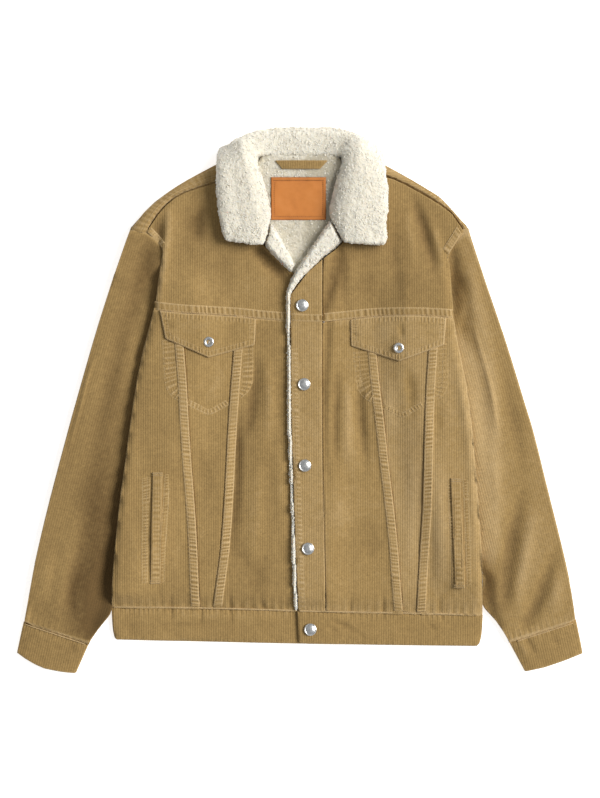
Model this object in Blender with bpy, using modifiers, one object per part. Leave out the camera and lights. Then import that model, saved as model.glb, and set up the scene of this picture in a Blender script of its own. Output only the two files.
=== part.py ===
"""Sherpa lined corduroy trucker jacket, laid flat on its back with its front up.

X runs across the jacket to the wearer's left, Y runs up to the collar and Z up from the surface that
it lies on. Every length below is in millimetres, and left and right are the wearer's.
"""

import math
from itertools import pairwise

import bmesh
import bpy
from mathutils import Vector

MM = 0.001

# Cloth: what one layer measures, and how far apart two pieces lie.
WALL = 9.0  # corduroy with the sherpa pile behind it
THIN_EDGE = 0.8  # what is left of a wall at its rounded edge
PLACKET_WALL = 6.5  # corduroy folded over on itself, with no pile
PLACKET_RADIUS = 3.0
LAP_UNDER_RUN = 18.0  # how far beside the placket the lapping front comes down inside, and outside
LAP_OVER_RUN = 48.0
SETTLE_START = 24.0  # the folds of the front underneath die out before the lapping edge
SETTLE_RUN = 14.0
BAND_WALL = 4.6  # waistband
LINING_WALL = 6.0  # sherpa of the back neck
COLLAR_WALL = 8.6  # two layers of sherpa
CUFF_WALL = 4.4
FLAP_WALL = 3.0
WELT_WALL = 2.5
LAYER_GAP = 0.4  # between two pieces that lie on each other
EDGE_RADIUS = 9.0  # of the front wall at the jacket's sides and shoulders
UNDER_RADIUS = 6.0  # of the back wall there
UNDER_SHARE = 0.8  # how much of that rounding the back wall takes
SEAM_INSET = 0.15  # each side of a seam, so that pieces are 0.3 apart
YOKE_INSET = 0.25
FELL_WIDTH = 12.5  # the double stitched strip beside a V seam
FELL_RISE = 1.2
HELD_SHARE = 0.55  # how much of its wall the body keeps where the waistband holds it
HELD_REACH = 18.0

# Heights that the layers underneath give the back: the sleeves tucked under it and the collar's fall.
TUCKED_RISE = 10.4
TUCK_MARGIN = 14.0
TUCK_RAMP = 50.0
FALL_RISE = 9.8

# The seam lines of the body, from the wearer's right to the left. Each row is one level: how far down
# it is from the yoke seam (0) to the waist seam (1), and how far across each line lies there.
LINES = (
    "side_right", "outer_right", "inner_right", "edge_left", "edge_right",
    "placket", "inner_left", "outer_left", "side_left",
)
BODY_LEVELS = (
    # down, side_r, outer_r, inner_r, edge_l, edge_r, placket, inner_l, outer_l, side_l
    (0.000, -196.4, -159.3, -85.7, -12.8, 23.6, 31.2, 99.9, 176.2, 207.9),
    (0.120, -209.2, -155.7, -89.2, -11.8, 23.6, 30.6, 104.0, 173.5, 216.4),
    (0.240, -219.4, -151.9, -93.0, -11.5, 23.6, 30.6, 108.7, 170.5, 226.1),
    (0.385, -228.2, -148.9, -96.9, -10.8, 24.3, 31.1, 115.4, 168.5, 233.4),
    (0.520, -235.5, -145.4, -99.6, -9.2, 25.7, 31.8, 121.2, 167.3, 238.0),
    (0.656, -243.0, -141.3, -102.5, -7.4, 27.0, 32.7, 127.6, 165.8, 242.3),
    (0.790, -248.4, -138.1, -106.5, -5.7, 29.0, 33.8, 133.0, 162.4, 245.8),
    (0.890, -252.0, -136.5, -111.4, -3.8, 30.4, 34.8, 136.0, 160.2, 247.2),
    (1.000, -253.9, -134.7, -116.8, -2.0, 31.7, 35.8, 139.7, 158.1, 247.7),
)
YOKE_SEAM = ((-196, 121.5), (-159, 117.5), (-86, 113.4), (-13, 106.7), (31, 105.3), (100, 112.7),
             (138, 114.5), (176, 113.4), (208, 110.7))
WAIST_SEAM = ((-254, -279.5), (-135, -280.8), (0, -284.5), (140, -287.6), (248, -289.8))
DOWNS = (0.0, 0.06, 0.14, 0.23, 0.32, 0.42, 0.52, 0.62, 0.72, 0.81, 0.89, 0.955, 1.0)

# The outer edge of each front yoke, from the yoke seam up to the end of the shoulder seam.
YOKE_OUTER = {
    "right": ((-196.4, 121.5), (-193.7, 135), (-191, 158), (-188.1, 181), (-184.8, 204.4),
              (-195.0, 215.8), (-206.6, 226.5)),
    "left": ((207.9, 110.7), (207.5, 124), (205.9, 140), (203.2, 181), (200.0, 194.4),
             (208.6, 207.5), (222.0, 228.0)),
}
# The inner edge of each front yoke: placket or lap, then the V, then the neck seam under the collar.
YOKE_INNER = {
    "right": ((23.6, 108), (19.6, 135), (-7.4, 166.1), (-46.6, 206.6), (-64, 240), (-71, 270),
              (-71, 302)),
    "left": ((31.2, 105.3), (31.2, 148), (31.3, 182), (33.6, 192.4), (58.7, 212), (71, 240), (73, 270),
             (71, 306)),
}
SHOULDER_SEAM = {
    "right": ((-206.6, 226.5), (-199.8, 239), (-186.4, 258), (-166, 275), (-144, 284), (-113, 293.4),
              (-71, 302)),
    "left": ((222, 228), (207, 251.4), (185, 267), (162.4, 280.5), (121, 300.6), (71, 306)),
}
SHOULDER_TOP = {
    "right": ((-228.8, 231.3), (-216.7, 247), (-199.8, 265), (-177.5, 281.6), (-155, 296),
              (-113, 318.6), (-80, 335)),
    "left": ((226.5, 235.0), (207.2, 256), (190.4, 274), (173.5, 285), (145.5, 301.7), (121, 315),
             (82, 335)),
}
YOKE_REACH = 130.0  # from the middle of a front yoke to its corners
LAP_ENDS = 215.0  # how far up the left yoke lies over the right one, and how soon it comes down
LAP_END_RUN = 25.0
ARMHOLE_BEND = 185.0  # where the sleeve leaves the body's side, and how soon
ARMHOLE_RUN = 20.0
YOKE_UPS = (0.0, 0.09, 0.19, 0.3, 0.4, 0.49, 0.58, 0.68, 0.78, 0.89, 1.0)
SHOULDER_OUTS = (0.0, 0.03, 0.5, 0.78, 0.93, 1.0)
NECK_SEAM_Y = 323.5
NECK_COLUMNS = 8
LINING_UPS = (0.28, 0.4, 0.49, 0.58, 0.68, 0.78, 0.89, 0.995)
LINING_INSET = 0.012  # each side, as a share of the neck's width
V_POINTS = ((-12.8, 141), (0.7, 162), (15, 176.5), (31.2, 190.4))

# Where the inner edge of each tucked sleeve lies under the body: height up the jacket, right, left.
TUCK = (
    (195, -186, 200), (165, -176, 176), (112, -155, 163), (65, -156, 163), (16, -163, 171),
    (-40, -177, 184), (-94, -192, 196), (-148, -205, 205), (-202, -223, 221), (-243, -246, 240),
    (-285, -255, 249),
)
# The sleeves from the armhole to the cuff seam, a row for each section.
SLEEVES = {
    "right": (
        # outer x, outer y, inner x, inner y
        (-228.8, 231.3, -184.8, 204.4),
        (-239.0, 204.0, -188.8, 182.0),
        (-253.0, 162.0, -190.8, 163.0),
        (-259.5, 142.0, -187.0, 146.0),
        (-271.0, 106.0, -163.0, 117.0),
        (-284.4, 61.0, -157.0, 68.0),
        (-299.0, 9.5, -161.0, 22.0),
        (-311.2, -34.0, -170.0, -26.0),
        (-323.7, -81.0, -183.0, -72.0),
        (-338.0, -135.0, -199.0, -120.0),
        (-350.3, -186.0, -217.0, -176.0),
        (-359.0, -225.0, -235.0, -222.0),
        (-365.5, -260.0, -256.0, -259.0),
        (-373.0, -298.9, -284.2, -328.1),
    ),
    "left": (
        (226.5, 235.0, 200.0, 194.4),
        (238.3, 200.0, 204.4, 176.0),
        (251.0, 162.0, 205.2, 161.0),
        (257.5, 143.0, 201.0, 144.0),
        (275.0, 92.0, 168.5, 109.0),
        (290.0, 45.0, 164.5, 58.0),
        (303.5, 0.0, 172.0, 8.0),
        (316.5, -42.0, 182.0, -38.0),
        (328.5, -91.0, 194.0, -84.0),
        (341.0, -141.0, 205.0, -136.0),
        (354.5, -195.0, 220.0, -192.0),
        (363.0, -232.0, 238.0, -230.0),
        (369.5, -266.0, 250.6, -258.0),
        (374.1, -296.6, 282.8, -325.8),
    ),
}
ARMHOLES = {
    "right": ((-228.8, 231.3), (-217.7, 228.9), (-206.6, 226.5), (-195, 215.8), (-184.8, 204.4)),
    "left": ((226.5, 235.0), (222, 228), (208.6, 207.5), (200.0, 194.4)),
}
SLEEVE_ALONG = 19
ARMHOLE_GAP = 1.1
SLEEVE_WRAP = 10.0  # how far the under sleeve wraps on to the top, as far as the felled seam
SLEEVE_UNDER_WALL = 5.0
SLEEVE_HEIGHT = 15.0
SLEEVE_HEIGHT_AT_CUFF = 10.5
SLEEVE_LOW_EDGE = 6.0  # height that the rounded outer edge of the top comes down to
SLEEVE_INNER_EDGE = 5.6
SLEEVE_STARTS = (0.0, 1.5, 4.0, SLEEVE_WRAP)
SLEEVE_ENDS = (6.0, 2.0, 0.0)
BODY_LENGTH = 395.0  # from the yoke seam to the waist seam

# Each cuff: its lower edge from the outer corner to the inner one. Its upper edge is the cuff seam.
CUFF_HEMS = {
    "right": ((-382.6, -341.5), (-362.0, -355.5), (-337.0, -365.5), (-302.5, -369.8)),
    "left": ((383.6, -342.5), (360.0, -352.0), (334.0, -361.0), (305.5, -368.0)),
}

CUFF_STEPS = 6
CUFF_CORNER = 0.45  # how much of its thickness a cuff keeps at its rounded sides

# Waistband: its lower edge, its ends at each level down, and the opening edge.
HEM = ((-254, -324.5), (-6.5, -329.4), (248, -332.8))
BAND_LEVELS = (
    # down, right end, front edge, left end
    (0.00, -254.3, -3.2, 248.0),
    (0.35, -253.6, -2.4, 247.4),
    (0.70, -252.5, -1.6, 246.2),
    (0.92, -250.3, -1.0, 243.6),
    (1.00, -247.0, -0.7, 240.0),
)

BAND_HEIGHT = 43.0
BAND_UNDER_END = 31.7  # where the right band ends under the left one
BAND_LAP_END = 32.5
BAND_RIGHT_SHARES = (0.0, 0.008, 0.03, 0.1, 0.22, 0.34, 0.46, 0.58, 0.7, 0.82, 0.93, 1.0)
BAND_LEFT_SHARES = (
    0.0, 0.005, 0.03, 0.08, 0.148, 0.2, 0.26, 0.35, 0.48, 0.62, 0.78, 0.9, 0.97, 0.992, 1.0,
)

# The facing of each front at its opening: the inner edge, the outer edge and the height of its top.
FACING_RIGHT = (
    # inner x, inner y, outer x, outer y, top
    (-39.2, 239.0, -46.4, 208.2, 33.0),
    (-32.0, 229.5, -40.5, 201.0, 32.0),
    (-24.0, 216.0, -33.0, 193.3, 30.5),
    (-15.0, 199.5, -24.0, 184.0, 28.5),
    (-6.3, 182.0, -12.5, 172.1, 25.5),
)
FACING_LEFT = (
    (42.0, 243.5, 57.4, 213.4, 33.0),
    (33.0, 231.0, 48.4, 207.0, 33.0),
    (24.0, 217.5, 38.8, 199.4, 32.5),
    (13.0, 201.0, 29.6, 191.4, 32.0),
    (4.0, 188.0, 17.0, 179.0, 31.5),
    (-4.0, 176.0, 5.5, 168.0, 31.0),
    (-11.5, 162.5, -3.0, 157.5, 30.5),
    (-16.9, 148.0, -9.3, 148.0, 29.5),
    (-17.9, 141.4, -13.3, 141.4, 29.2),
    (-18.2, 130.0, -13.1, 130.0, 28.5),
    (-17.4, 107.0, -13.1, 107.0, 27.5),
    (-15.6, 60.0, -12.1, 60.0, 27.3),
    (-15.6, 10.0, -11.8, 10.0, 27.3),
    (-15.6, -42.0, -11.1, -42.0, 27.3),
    (-13.2, -95.0, -9.5, -95.0, 27.3),
    (-11.0, -148.0, -7.7, -148.0, 27.3),
    (-10.4, -203.0, -6.0, -203.0, 27.0),
    (-8.3, -242.0, -4.3, -242.0, 26.5),
    (-7.7, -266.5, -3.5, -266.5, 25.0),
    (-7.0, -275.0, -3.1, -275.0, 21.5),
    (-6.2, -283.5, -2.4, -283.5, 16.5),
)

FACING_CLEARANCE = 14.0  # the facings clear the lining as it is this far up the neck
FACING_PARTS = 176.0  # above here the left facing lies on the lining, and not on the right front
FACING_RISE_RUN = 12.0

# The collar from the right end of its wing, round the back of the neck, to the left end. Each row is a
# section: seam, roll, crest, fall and free edge, each across, up and high.
COLLAR = (
    # seam, roll, crest, fall, edge
    ((-43, 243, 24), (-43.5, 237, 30), (-49.5, 213, 33), (-72, 216, 32), (-96, 218.5, 24.8)),
    ((-42, 252, 24), (-46, 252, 32), (-56, 240, 37), (-80, 236, 35), (-105, 236, 24.8)),
    ((-44, 270, 27), (-51, 272, 34), (-62, 268, 40), (-86, 264, 37), (-109.5, 262, 25.5)),
    ((-49, 290, 30), (-57, 294, 36), (-68, 296, 42), (-90, 292, 38), (-110.8, 286, 26.5)),
    ((-55, 308, 31), (-64, 316, 36), (-74, 322, 42), (-93, 316, 37), (-110.5, 308, 27.5)),
    ((-58, 326, 30), (-67, 338, 32), (-78, 344, 33), (-95, 341, 22), (-107.5, 337, 7.8)),
    ((-50, 329, 25), (-60, 347, 24), (-72, 355, 18), (-80, 346, 6.5), (-80, 317, 4.9)),
    ((-30, 329, 20.5), (-33, 352, 18), (-36, 364, 11), (-38, 344, 5.0), (-40, 306, 5.0)),
    ((0, 329, 20.5), (0, 352, 18), (0, 364.5, 11), (0, 344, 5.0), (0, 306, 5.0)),
    ((30, 329, 20.5), (33, 353, 18), (36, 365.5, 11), (38, 344, 5.0), (40, 306, 5.0)),
    ((50, 329, 25), (60, 348, 24), (70, 358, 18), (80, 347, 6.5), (80, 317, 4.9)),
    ((58, 326, 30), (66, 339, 32), (80, 347, 32), (98, 342, 21), (109.0, 336, 7.8)),
    ((56, 308, 31), (65, 318, 37), (78, 324, 42), (98, 318, 37), (114.0, 308, 27.5)),
    ((51, 292, 30), (60, 297, 39), (73, 298, 43), (98, 292, 39), (117.8, 286, 26.5)),
    ((46, 272, 27), (55, 275, 37), (68, 268, 42), (96, 262, 38), (118.2, 256, 25.5)),
    ((43, 256, 24), (50, 257, 34), (62, 242, 38), (91, 236, 36), (115.0, 232, 24.8)),
    ((45, 247, 24), (46.5, 241, 31), (60.5, 217.5, 33), (86, 215, 32), (110.5, 213.5, 24.8)),
)
COLLAR_ALONG = 32
COLLAR_ACROSS = 10
COLLAR_WIDTH = 75.0
COLLAR_LENGTH = 400.0

# Soft folds of the front: place, bearing in degrees, half length, half width, and height or depth.
FOLDS = (
    (-77, -113, 90, 75, 11, -2.4),
    (-50, 22, 79, 45, 10, -2.0),
    (-205, -60, 84, 90, 14, -1.6),
    (44, 80, 90, 35, 9, -1.8),
    (62, -8, 83, 38, 9, -1.8),
    (86, -40, 102, 34, 9, -1.8),
    (58, 165, 84, 40, 9, -2.2),
    (178, 228, 104, 30, 9, -2.0),
    (-178, 222, 80, 52, 9, 2.4),
    (215, -40, 96, 90, 14, -1.6),
)
# Soft folds of the sleeves: share across from the outer edge, share down, half shares, and height.
SLEEVE_FOLDS = {
    "right": ((0.30, 0.30, 0.08, 0.22, 1.6), (0.52, 0.55, 0.07, 0.25, -1.5), (0.35, 0.88, 0.08, 0.10, 1.8)),
    "left": ((0.45, 0.22, 0.09, 0.22, 1.8), (0.30, 0.60, 0.08, 0.22, -1.5), (0.50, 0.90, 0.08, 0.08, -1.8)),
}

FLAPS = {
    # upper corners, then lower corner, point and lower corner
    "right": ((-188.3, 116.5), (-58.7, 111.0), (-180.6, 82.4), (-122.7, 57.2), (-60.1, 74.2)),
    "left": ((68.2, 108.6), (197.8, 111.2), (69.5, 72.9), (134.3, 52.1), (195.1, 74.2)),
}
WELTS = {
    # upper corners, then lower corners
    "right": ((-198.0, -97.2), (-184.5, -97.2), (-201.2, -248.4), (-187.7, -248.4)),
    "left": ((203.5, -105.3), (217.0, -105.3), (210.0, -253.8), (223.0, -253.8)),
}
TRIM_ROUNDING = 1.2  # how far the edges of flaps and welts come down
FLAP_STEPS = 12
FLAP_DOWNS = (0.0, 0.2, 0.45, 0.7, 0.9, 1.0)
WELT_STEPS = 8
PATCH = (-38.5, 35.8, 243.0, 300.4)
PATCH_WALL = 1.4
LOOP_TOP = (-33.1, 38.5)
LOOP_LOWER = (-23.6, 27.7)
LOOP_Y = (311.4, 323.1)
LOOP_WALL = 2.4
LOOP_ARCH = 2.0
LOOP_STEPS = 8

PLACKET_BUTTONS = ((3.8, 127.6), (6.3, 21.2), (7.4, -88.4), (11.5, -200.5), (14.7, -310.0))
FLAP_BUTTONS = {"right": (-122.7, 78.3), "left": (134.1, 70.2)}
PLACKET_BUTTON = ((0, 0), (7.6, 0), (8.4, 0.8), (8.4, 1.5), (7.8, 2.2), (7.0, 2.4), (6.3, 2.1),
                  (4.4, 2.8), (2.2, 3.3), (0, 3.5))
FLAP_BUTTON = ((0, 0), (6.8, 0), (7.5, 0.7), (7.5, 1.4), (6.6, 2.3), (4.6, 2.6), (3.4, 2.3),
               (2.4, 1.3), (0, 1.1))
BUTTON_STEPS = 12
BUTTON_GAP = 0.6

SLOTS = {
    # slot: colour, roughness, metallic
    "corduroy": ((0.36, 0.24, 0.12), 0.85, 0.0),
    "sherpa": ((0.83, 0.79, 0.69), 0.95, 0.0),
    "patch_leather": ((0.62, 0.27, 0.09), 0.6, 0.0),
    "button_metal": ((0.75, 0.75, 0.74), 0.3, 1.0),
}


# Curves and tables.
def lerp(start, end, share):
    return start + (end - start) * share


def smooth(share):
    share = min(max(share, 0.0), 1.0)
    return share * share * (3.0 - 2.0 * share)


def curve(points, position):
    """The point at a position, counted in points, of a smooth curve through all of them."""
    last = len(points) - 1
    index = min(int(position), last - 1)
    t = position - index
    before, start, end, after = (Vector(points[min(max(index + k, 0), last)]) for k in (-1, 0, 1, 2))
    return 0.5 * (
        2.0 * start
        + (end - before) * t
        + (2.0 * before - 5.0 * start + 4.0 * end - after) * t * t
        + (3.0 * start - before - 3.0 * end + after) * t * t * t
    )


def along(points, share):
    """The point at a share of the length of a curve through the points."""
    lengths = [0.0]
    for start, end in pairwise(points):
        lengths.append(lengths[-1] + math.dist(start, end))
    target = share * lengths[-1]
    for index, (near, far) in enumerate(pairwise(lengths)):
        if target <= far or index == len(points) - 2:
            return curve(points, index + min((target - near) / (far - near), 1.0))


def position_in(rows, value):
    """Where a value falls in the first column of the rows, counted in rows."""
    rising = rows[-1][0] > rows[0][0]
    for index, (near, far) in enumerate(pairwise(rows)):
        if (value <= far[0]) == rising or value == far[0] or index == len(rows) - 2:
            return index + min(max((value - near[0]) / (far[0] - near[0]), 0.0), 1.0)


def at_level(rows, value):
    """The row of a table at a value of its first column, worked out smoothly."""
    return curve(rows, position_in(rows, value))


def height_on(points, x):
    """Y of a smooth line of points at x."""
    return at_level(points, x)[1]


# Heights of the layers.
def rise_on_sleeves(x, y):
    """How far the tucked sleeves lift the back."""
    level = at_level(TUCK, y)
    inward = min(x - level[1], level[2] - x)
    above = smooth((186.0 - y) / 34.0)
    below = smooth((y + 276.0) / 22.0)
    return TUCKED_RISE * above * below * (1.0 - smooth((inward - TUCK_MARGIN) / TUCK_RAMP))


def rise_on_fall(x, y):
    """How far the fall of the collar, folded behind the neck, lifts the back."""
    up = min(max((y - 222.0) / 76.0, 0.0), 1.0)
    return FALL_RISE * up * (1.0 - smooth((abs(x) - 96.0) / 18.0))


def ground(x, y):
    return rise_on_sleeves(x, y) + rise_on_fall(x, y)


def wall_at(x, y):
    """Thickness of the body's wall, less where the waistband holds it."""
    return WALL * lerp(HELD_SHARE, 1.0, smooth((y - height_on(WAIST_SEAM, x)) / HELD_REACH))


def back_top(x, y):
    return ground(x, y) + wall_at(x, y)


def folds(x, y):
    total = 0.0
    for at_x, at_y, bearing, half_length, half_width, height in FOLDS:
        turn = math.radians(bearing)
        lengthways = (x - at_x) * math.cos(turn) + (y - at_y) * math.sin(turn)
        sideways = (y - at_y) * math.cos(turn) - (x - at_x) * math.sin(turn)
        total += height * math.exp(-((lengthways / half_length) ** 2) - (sideways / half_width) ** 2)
    return total


def front_top(x, y):
    return back_top(x, y) + LAYER_GAP + wall_at(x, y) + folds(x, y)


def edge_drop(distance, radius):
    """How far a rounded edge falls at a distance from it."""
    share = min(max(1.0 - distance / radius, 0.0), 1.0)
    return radius * (1.0 - math.sqrt(1.0 - share * share))


# Building.
def make_material(slot):
    colour, roughness, metallic = SLOTS[slot]
    material = bpy.data.materials.new(slot)
    material.use_nodes = True
    shader = material.node_tree.nodes["Principled BSDF"]
    shader.inputs["Base Color"].default_value = (*colour, 1.0)
    shader.inputs["Roughness"].default_value = roughness
    shader.inputs["Metallic"].default_value = metallic
    return material


def add_object(name, mesh, slot):
    node = bpy.data.objects.new(name, mesh)
    node.data.materials.append(materials[slot])
    node.data.shade_smooth()
    node.parent = jacket
    collection.objects.link(node)
    return node


def cloth(name, patches, slot):
    """A closed wall of cloth. A patch is rows of (under, over) points, and patches join where they agree."""
    mesh = bmesh.new()
    corners = {}

    def corner(pair):
        key = tuple(round(value, 1) for point in pair for value in point)
        if key not in corners:
            corners[key] = [mesh.verts.new(Vector(point) * MM) for point in pair]
        return corners[key]

    rims = {}
    for patch in patches:
        for near, far in pairwise(patch):
            for (a, d), (b, c) in zip(pairwise(near), pairwise(far)):
                for triangle in ((a, b, c), (a, c, d)):
                    under, over = zip(*map(corner, triangle))
                    if len(set(over)) < 3:
                        continue
                    mesh.faces.new(over)
                    mesh.faces.new(reversed(under))
                    for k in range(3):
                        rims[over[k], over[k - 1]] = (under[k], under[k - 1])
    for (start, end), (under_start, under_end) in rims.items():
        if (end, start) not in rims:
            mesh.faces.new((start, end, under_end, under_start))
    bmesh.ops.triangulate(mesh, faces=[face for face in mesh.faces if len(face.verts) > 3])
    bmesh.ops.recalc_face_normals(mesh, faces=mesh.faces)
    data = bpy.data.meshes.new(name)
    mesh.to_mesh(data)
    mesh.free()
    return add_object(name, data, slot)


def turned(name, profile, place, height, slot):
    """A round piece turned from half its section, set square on the surface under it."""
    x, y = place
    reach = profile[1][0]
    slope = ((height(x + reach, y) - height(x - reach, y)) / (2 * reach),
             (height(x, y + reach) - height(x, y - reach)) / (2 * reach))
    normal = Vector((-slope[0], -slope[1], 1.0)).normalized()
    seat = max(height(x, y), 0.5 * (height(x + reach, y) + height(x - reach, y)))
    data = bpy.data.meshes.new(name)
    data.from_pydata([(radius * MM, 0, height * MM) for radius, height in profile],
                     list(pairwise(range(len(profile)))), [])
    node = add_object(name, data, slot)
    node.location = (Vector((x, y, seat)) + normal * BUTTON_GAP) * MM
    node.rotation_mode = "QUATERNION"
    node.rotation_quaternion = Vector((0.0, 0.0, 1.0)).rotation_difference(normal)
    screw = node.modifiers.new("Turn", "SCREW")
    screw.steps = BUTTON_STEPS
    screw.render_steps = BUTTON_STEPS
    screw.use_merge_vertices = True
    screw.merge_threshold = 0.00001
    screw.use_smooth_shade = True
    screw.use_normal_calculate = True
    return node


def column_list(line_from, line_to, starts, inner_count, ends):
    """Columns of a panel between two lines: at distances from each, and evenly between those."""
    first = [(line_from, line_to, start, 0.0, 0.0) for start in starts]
    middle = [
        (line_from, line_to, starts[-1], ends[0], (k + 1) / (inner_count + 1)) for k in range(inner_count)
    ]
    return first + middle + [(line_from, line_to, 0.0, end, 1.0) for end in ends]


ROUNDED = (0.0, 1.5, 4.0, 9.0)
FELLED = (0.0, FELL_WIDTH, FELL_WIDTH + 1.0)
PANELS = {
    "side_right": column_list("side_right", "outer_right", ROUNDED, 6, FELLED[::-1]),
    "gore_right": column_list("outer_right", "inner_right", (0.0,), 3, (0.0,)),
    "centre_right": column_list("inner_right", "edge_left", FELLED, 4, (0.0,))
    + column_list("edge_left", "edge_right", (0.0,), 1, (0.0,))[1:],
    "placket": column_list("edge_left", "placket", (0.0, 1.2, 3.5), 1, (0.0,)),
    "centre_left": column_list("placket", "inner_left", (0.0, 9.0, 20.0, 34.0), 1, FELLED[::-1]),
    "gore_left": column_list("inner_left", "outer_left", (0.0,), 3, (0.0,)),
    "side_left": column_list("outer_left", "side_left", FELLED, 6, ROUNDED[::-1]),
}


def body_place(column, down, shift=0.0):
    """Where a column of the body crosses a level, moved across by the seam's inset."""
    line_from, line_to, start, end, share = column
    level = at_level(BODY_LEVELS, down)
    near = level[1 + LINES.index(line_from)] + start
    far = level[1 + LINES.index(line_to)] - end
    x = lerp(near, far, share) + shift
    top = height_on(YOKE_SEAM, x) - SEAM_INSET
    bottom = height_on(WAIST_SEAM, x) + SEAM_INSET
    return x, lerp(top, bottom, down), level


def panel(name, heights):
    """One panel of the front, between its seams, with heights(x, y, level) for under and over."""
    columns = PANELS[name]
    rows = []
    for down in DOWNS:
        row = []
        for index, column in enumerate(columns):
            inset = {0: SEAM_INSET, len(columns) - 1: -SEAM_INSET}.get(index, 0.0)
            x, y, level = body_place(column, down, inset)
            under, over = heights(x, y, level)
            row.append(((x, y, under), (x, y, over)))
        rows.append(row)
    return rows


def felled(x, level):
    """The rise of the double stitched strips beside the V seams."""
    outer_right, inner_right, inner_left, outer_left = level[2], level[3], level[7], level[8]
    strips = (
        (outer_right - FELL_WIDTH, outer_right), (inner_right, inner_right + FELL_WIDTH),
        (inner_left - FELL_WIDTH, inner_left), (outer_left, outer_left + FELL_WIDTH),
    )
    return FELL_RISE if any(start - 0.01 < x < end + 0.01 for start, end in strips) else 0.0


def plain_heights(x, y, level):
    """Under and over of a panel that lies on the back, rounded at the jacket's side."""
    from_side = min(x - level[1], level[9] - x)
    under = back_top(x, y) + LAYER_GAP
    over = front_top(x, y) + felled(x, level)
    return under, max(over - edge_drop(from_side, EDGE_RADIUS), under + THIN_EDGE)


def centre_left_heights(x, y, level):
    """The left centre panel comes down from the lapped front to the back."""
    from_lap = x - level[6]
    under, over = plain_heights(x, y, level)
    lapped = wall_at(x, y) + LAYER_GAP
    under += lapped * (1.0 - smooth((from_lap - SEAM_INSET) / LAP_UNDER_RUN))
    over += PLACKET_WALL * (1.0 - smooth(from_lap / LAP_OVER_RUN))
    return under, over


def lapped_heights(x, y, level):
    """The right centre panel is plain where the left front laps over it."""
    under = back_top(x, y) + LAYER_GAP
    settled = smooth((x - level[4] + SETTLE_START) / SETTLE_RUN)
    return under, under + wall_at(x, y) + (folds(x, y) + felled(x, level)) * (1.0 - settled)


def placket_top(x, y):
    held = wall_at(x, y) / WALL
    return back_top(x, y) + wall_at(x, y) + 2.0 * LAYER_GAP + PLACKET_WALL * held


def placket_heights(x, y, level):
    from_edge = x - level[4]
    return (
        back_top(x, y) + wall_at(x, y) + 2.0 * LAYER_GAP,
        placket_top(x, y) - edge_drop(from_edge - SEAM_INSET, PLACKET_RADIUS),
    )


def build_body():
    """The panels below the yoke seam, and the lower back."""
    for side in ("right", "left"):
        cloth(f"front_side_{side}", [panel(f"side_{side}", plain_heights)], "corduroy")
        cloth(f"front_gore_{side}", [panel(f"gore_{side}", plain_heights)], "corduroy")
    cloth("front_centre_right", [panel("centre_right", lapped_heights)], "corduroy")
    cloth("front_centre_left", [panel("centre_left", centre_left_heights)], "corduroy")
    build_placket()
    build_lower_back()


def build_placket():
    """The button strip of the lapping front, from the waist seam up to the V."""
    lower = panel("placket", placket_heights)
    upper = []
    for up in (0.0, 0.3, 0.6, 0.85, 1.0):
        row = []
        for pair in lower[0]:
            x, y = pair[1][:2]
            top = height_on(V_POINTS, x) - SEAM_INSET
            place = (x, lerp(y, top, up))
            level = at_level(BODY_LEVELS, 0.0)
            under, over = placket_heights(*place, level)
            row.append(((*place, under), (*place, over)))
        upper.append(row)
    cloth("placket", [upper[::-1], lower], "corduroy")


def build_lower_back():
    """The lower back, with the same points across as the fronts where the sleeves lift it."""
    columns = (
        PANELS["side_right"][:-2] + PANELS["gore_right"] + PANELS["centre_right"][3:9]
        + PANELS["centre_left"][:1] + PANELS["centre_left"][2:5] + PANELS["gore_left"]
        + PANELS["side_left"][2:]
    )
    rows = []
    for down in DOWNS:
        row = []
        for column in columns:
            x, y, level = body_place(column, down)
            from_side = min(x - level[1], level[9] - x)
            under = ground(x, y) + edge_drop(from_side, UNDER_RADIUS) * UNDER_SHARE
            row.append(((x, y, under), (x, y, back_top(x, y))))
        rows.append(row)
    cloth("back_panel", [rows], "corduroy")


def yoke_edge(table, side):
    """An edge of a yoke, with its lowest point on the yoke seam."""
    x = table[side][0][0]
    return ((x, height_on(YOKE_SEAM, x) + YOKE_INSET), *table[side][1:])


def yoke_point(side, across, up):
    """A point of a front yoke: across from its outer edge to its inner edge, up from the yoke seam."""
    outer, inner = yoke_edge(YOKE_OUTER, side), yoke_edge(YOKE_INNER, side)
    seam_start, seam_end = Vector(outer[0]), Vector(inner[0])
    seam = seam_start.lerp(seam_end, across)
    seam.y = height_on(YOKE_SEAM, seam.x) + YOKE_INSET
    top = along(SHOULDER_SEAM[side], across)
    left, right = along(outer, up), along(inner, up)
    corners = seam_start.lerp(seam_end, across).lerp(Vector(outer[-1]).lerp(Vector(inner[-1]), across), up)
    return seam.lerp(top, up) + left.lerp(right, across) - corners


def yoke_shares(side, up):
    """Shares across a yoke at one level, close together at the rounded outer edge."""
    width = (along(yoke_edge(YOKE_INNER, side), up) - along(yoke_edge(YOKE_OUTER, side), up)).length
    starts = [distance / width for distance in ROUNDED]
    return starts + [lerp(starts[-1], 1.0, k / 9) for k in range(1, 10)]


def yoke_grid(side, heights, inset):
    rows = []
    for up in YOKE_UPS:
        row = []
        for across in yoke_shares(side, up):
            place = yoke_point(side, across, up)
            place = place.lerp(yoke_point(side, 0.5, 0.5), inset / YOKE_REACH)
            from_edge = (place - along(yoke_edge(YOKE_OUTER, side), up)).length
            below_armhole = 1.0 - smooth((place.y - ARMHOLE_BEND) / ARMHOLE_RUN)
            under, over = heights(place.x, place.y, from_edge, below_armhole)
            row.append(((*place, under), (*place, over)))
        rows.append(row if side == "right" else row[::-1])
    return rows


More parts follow.
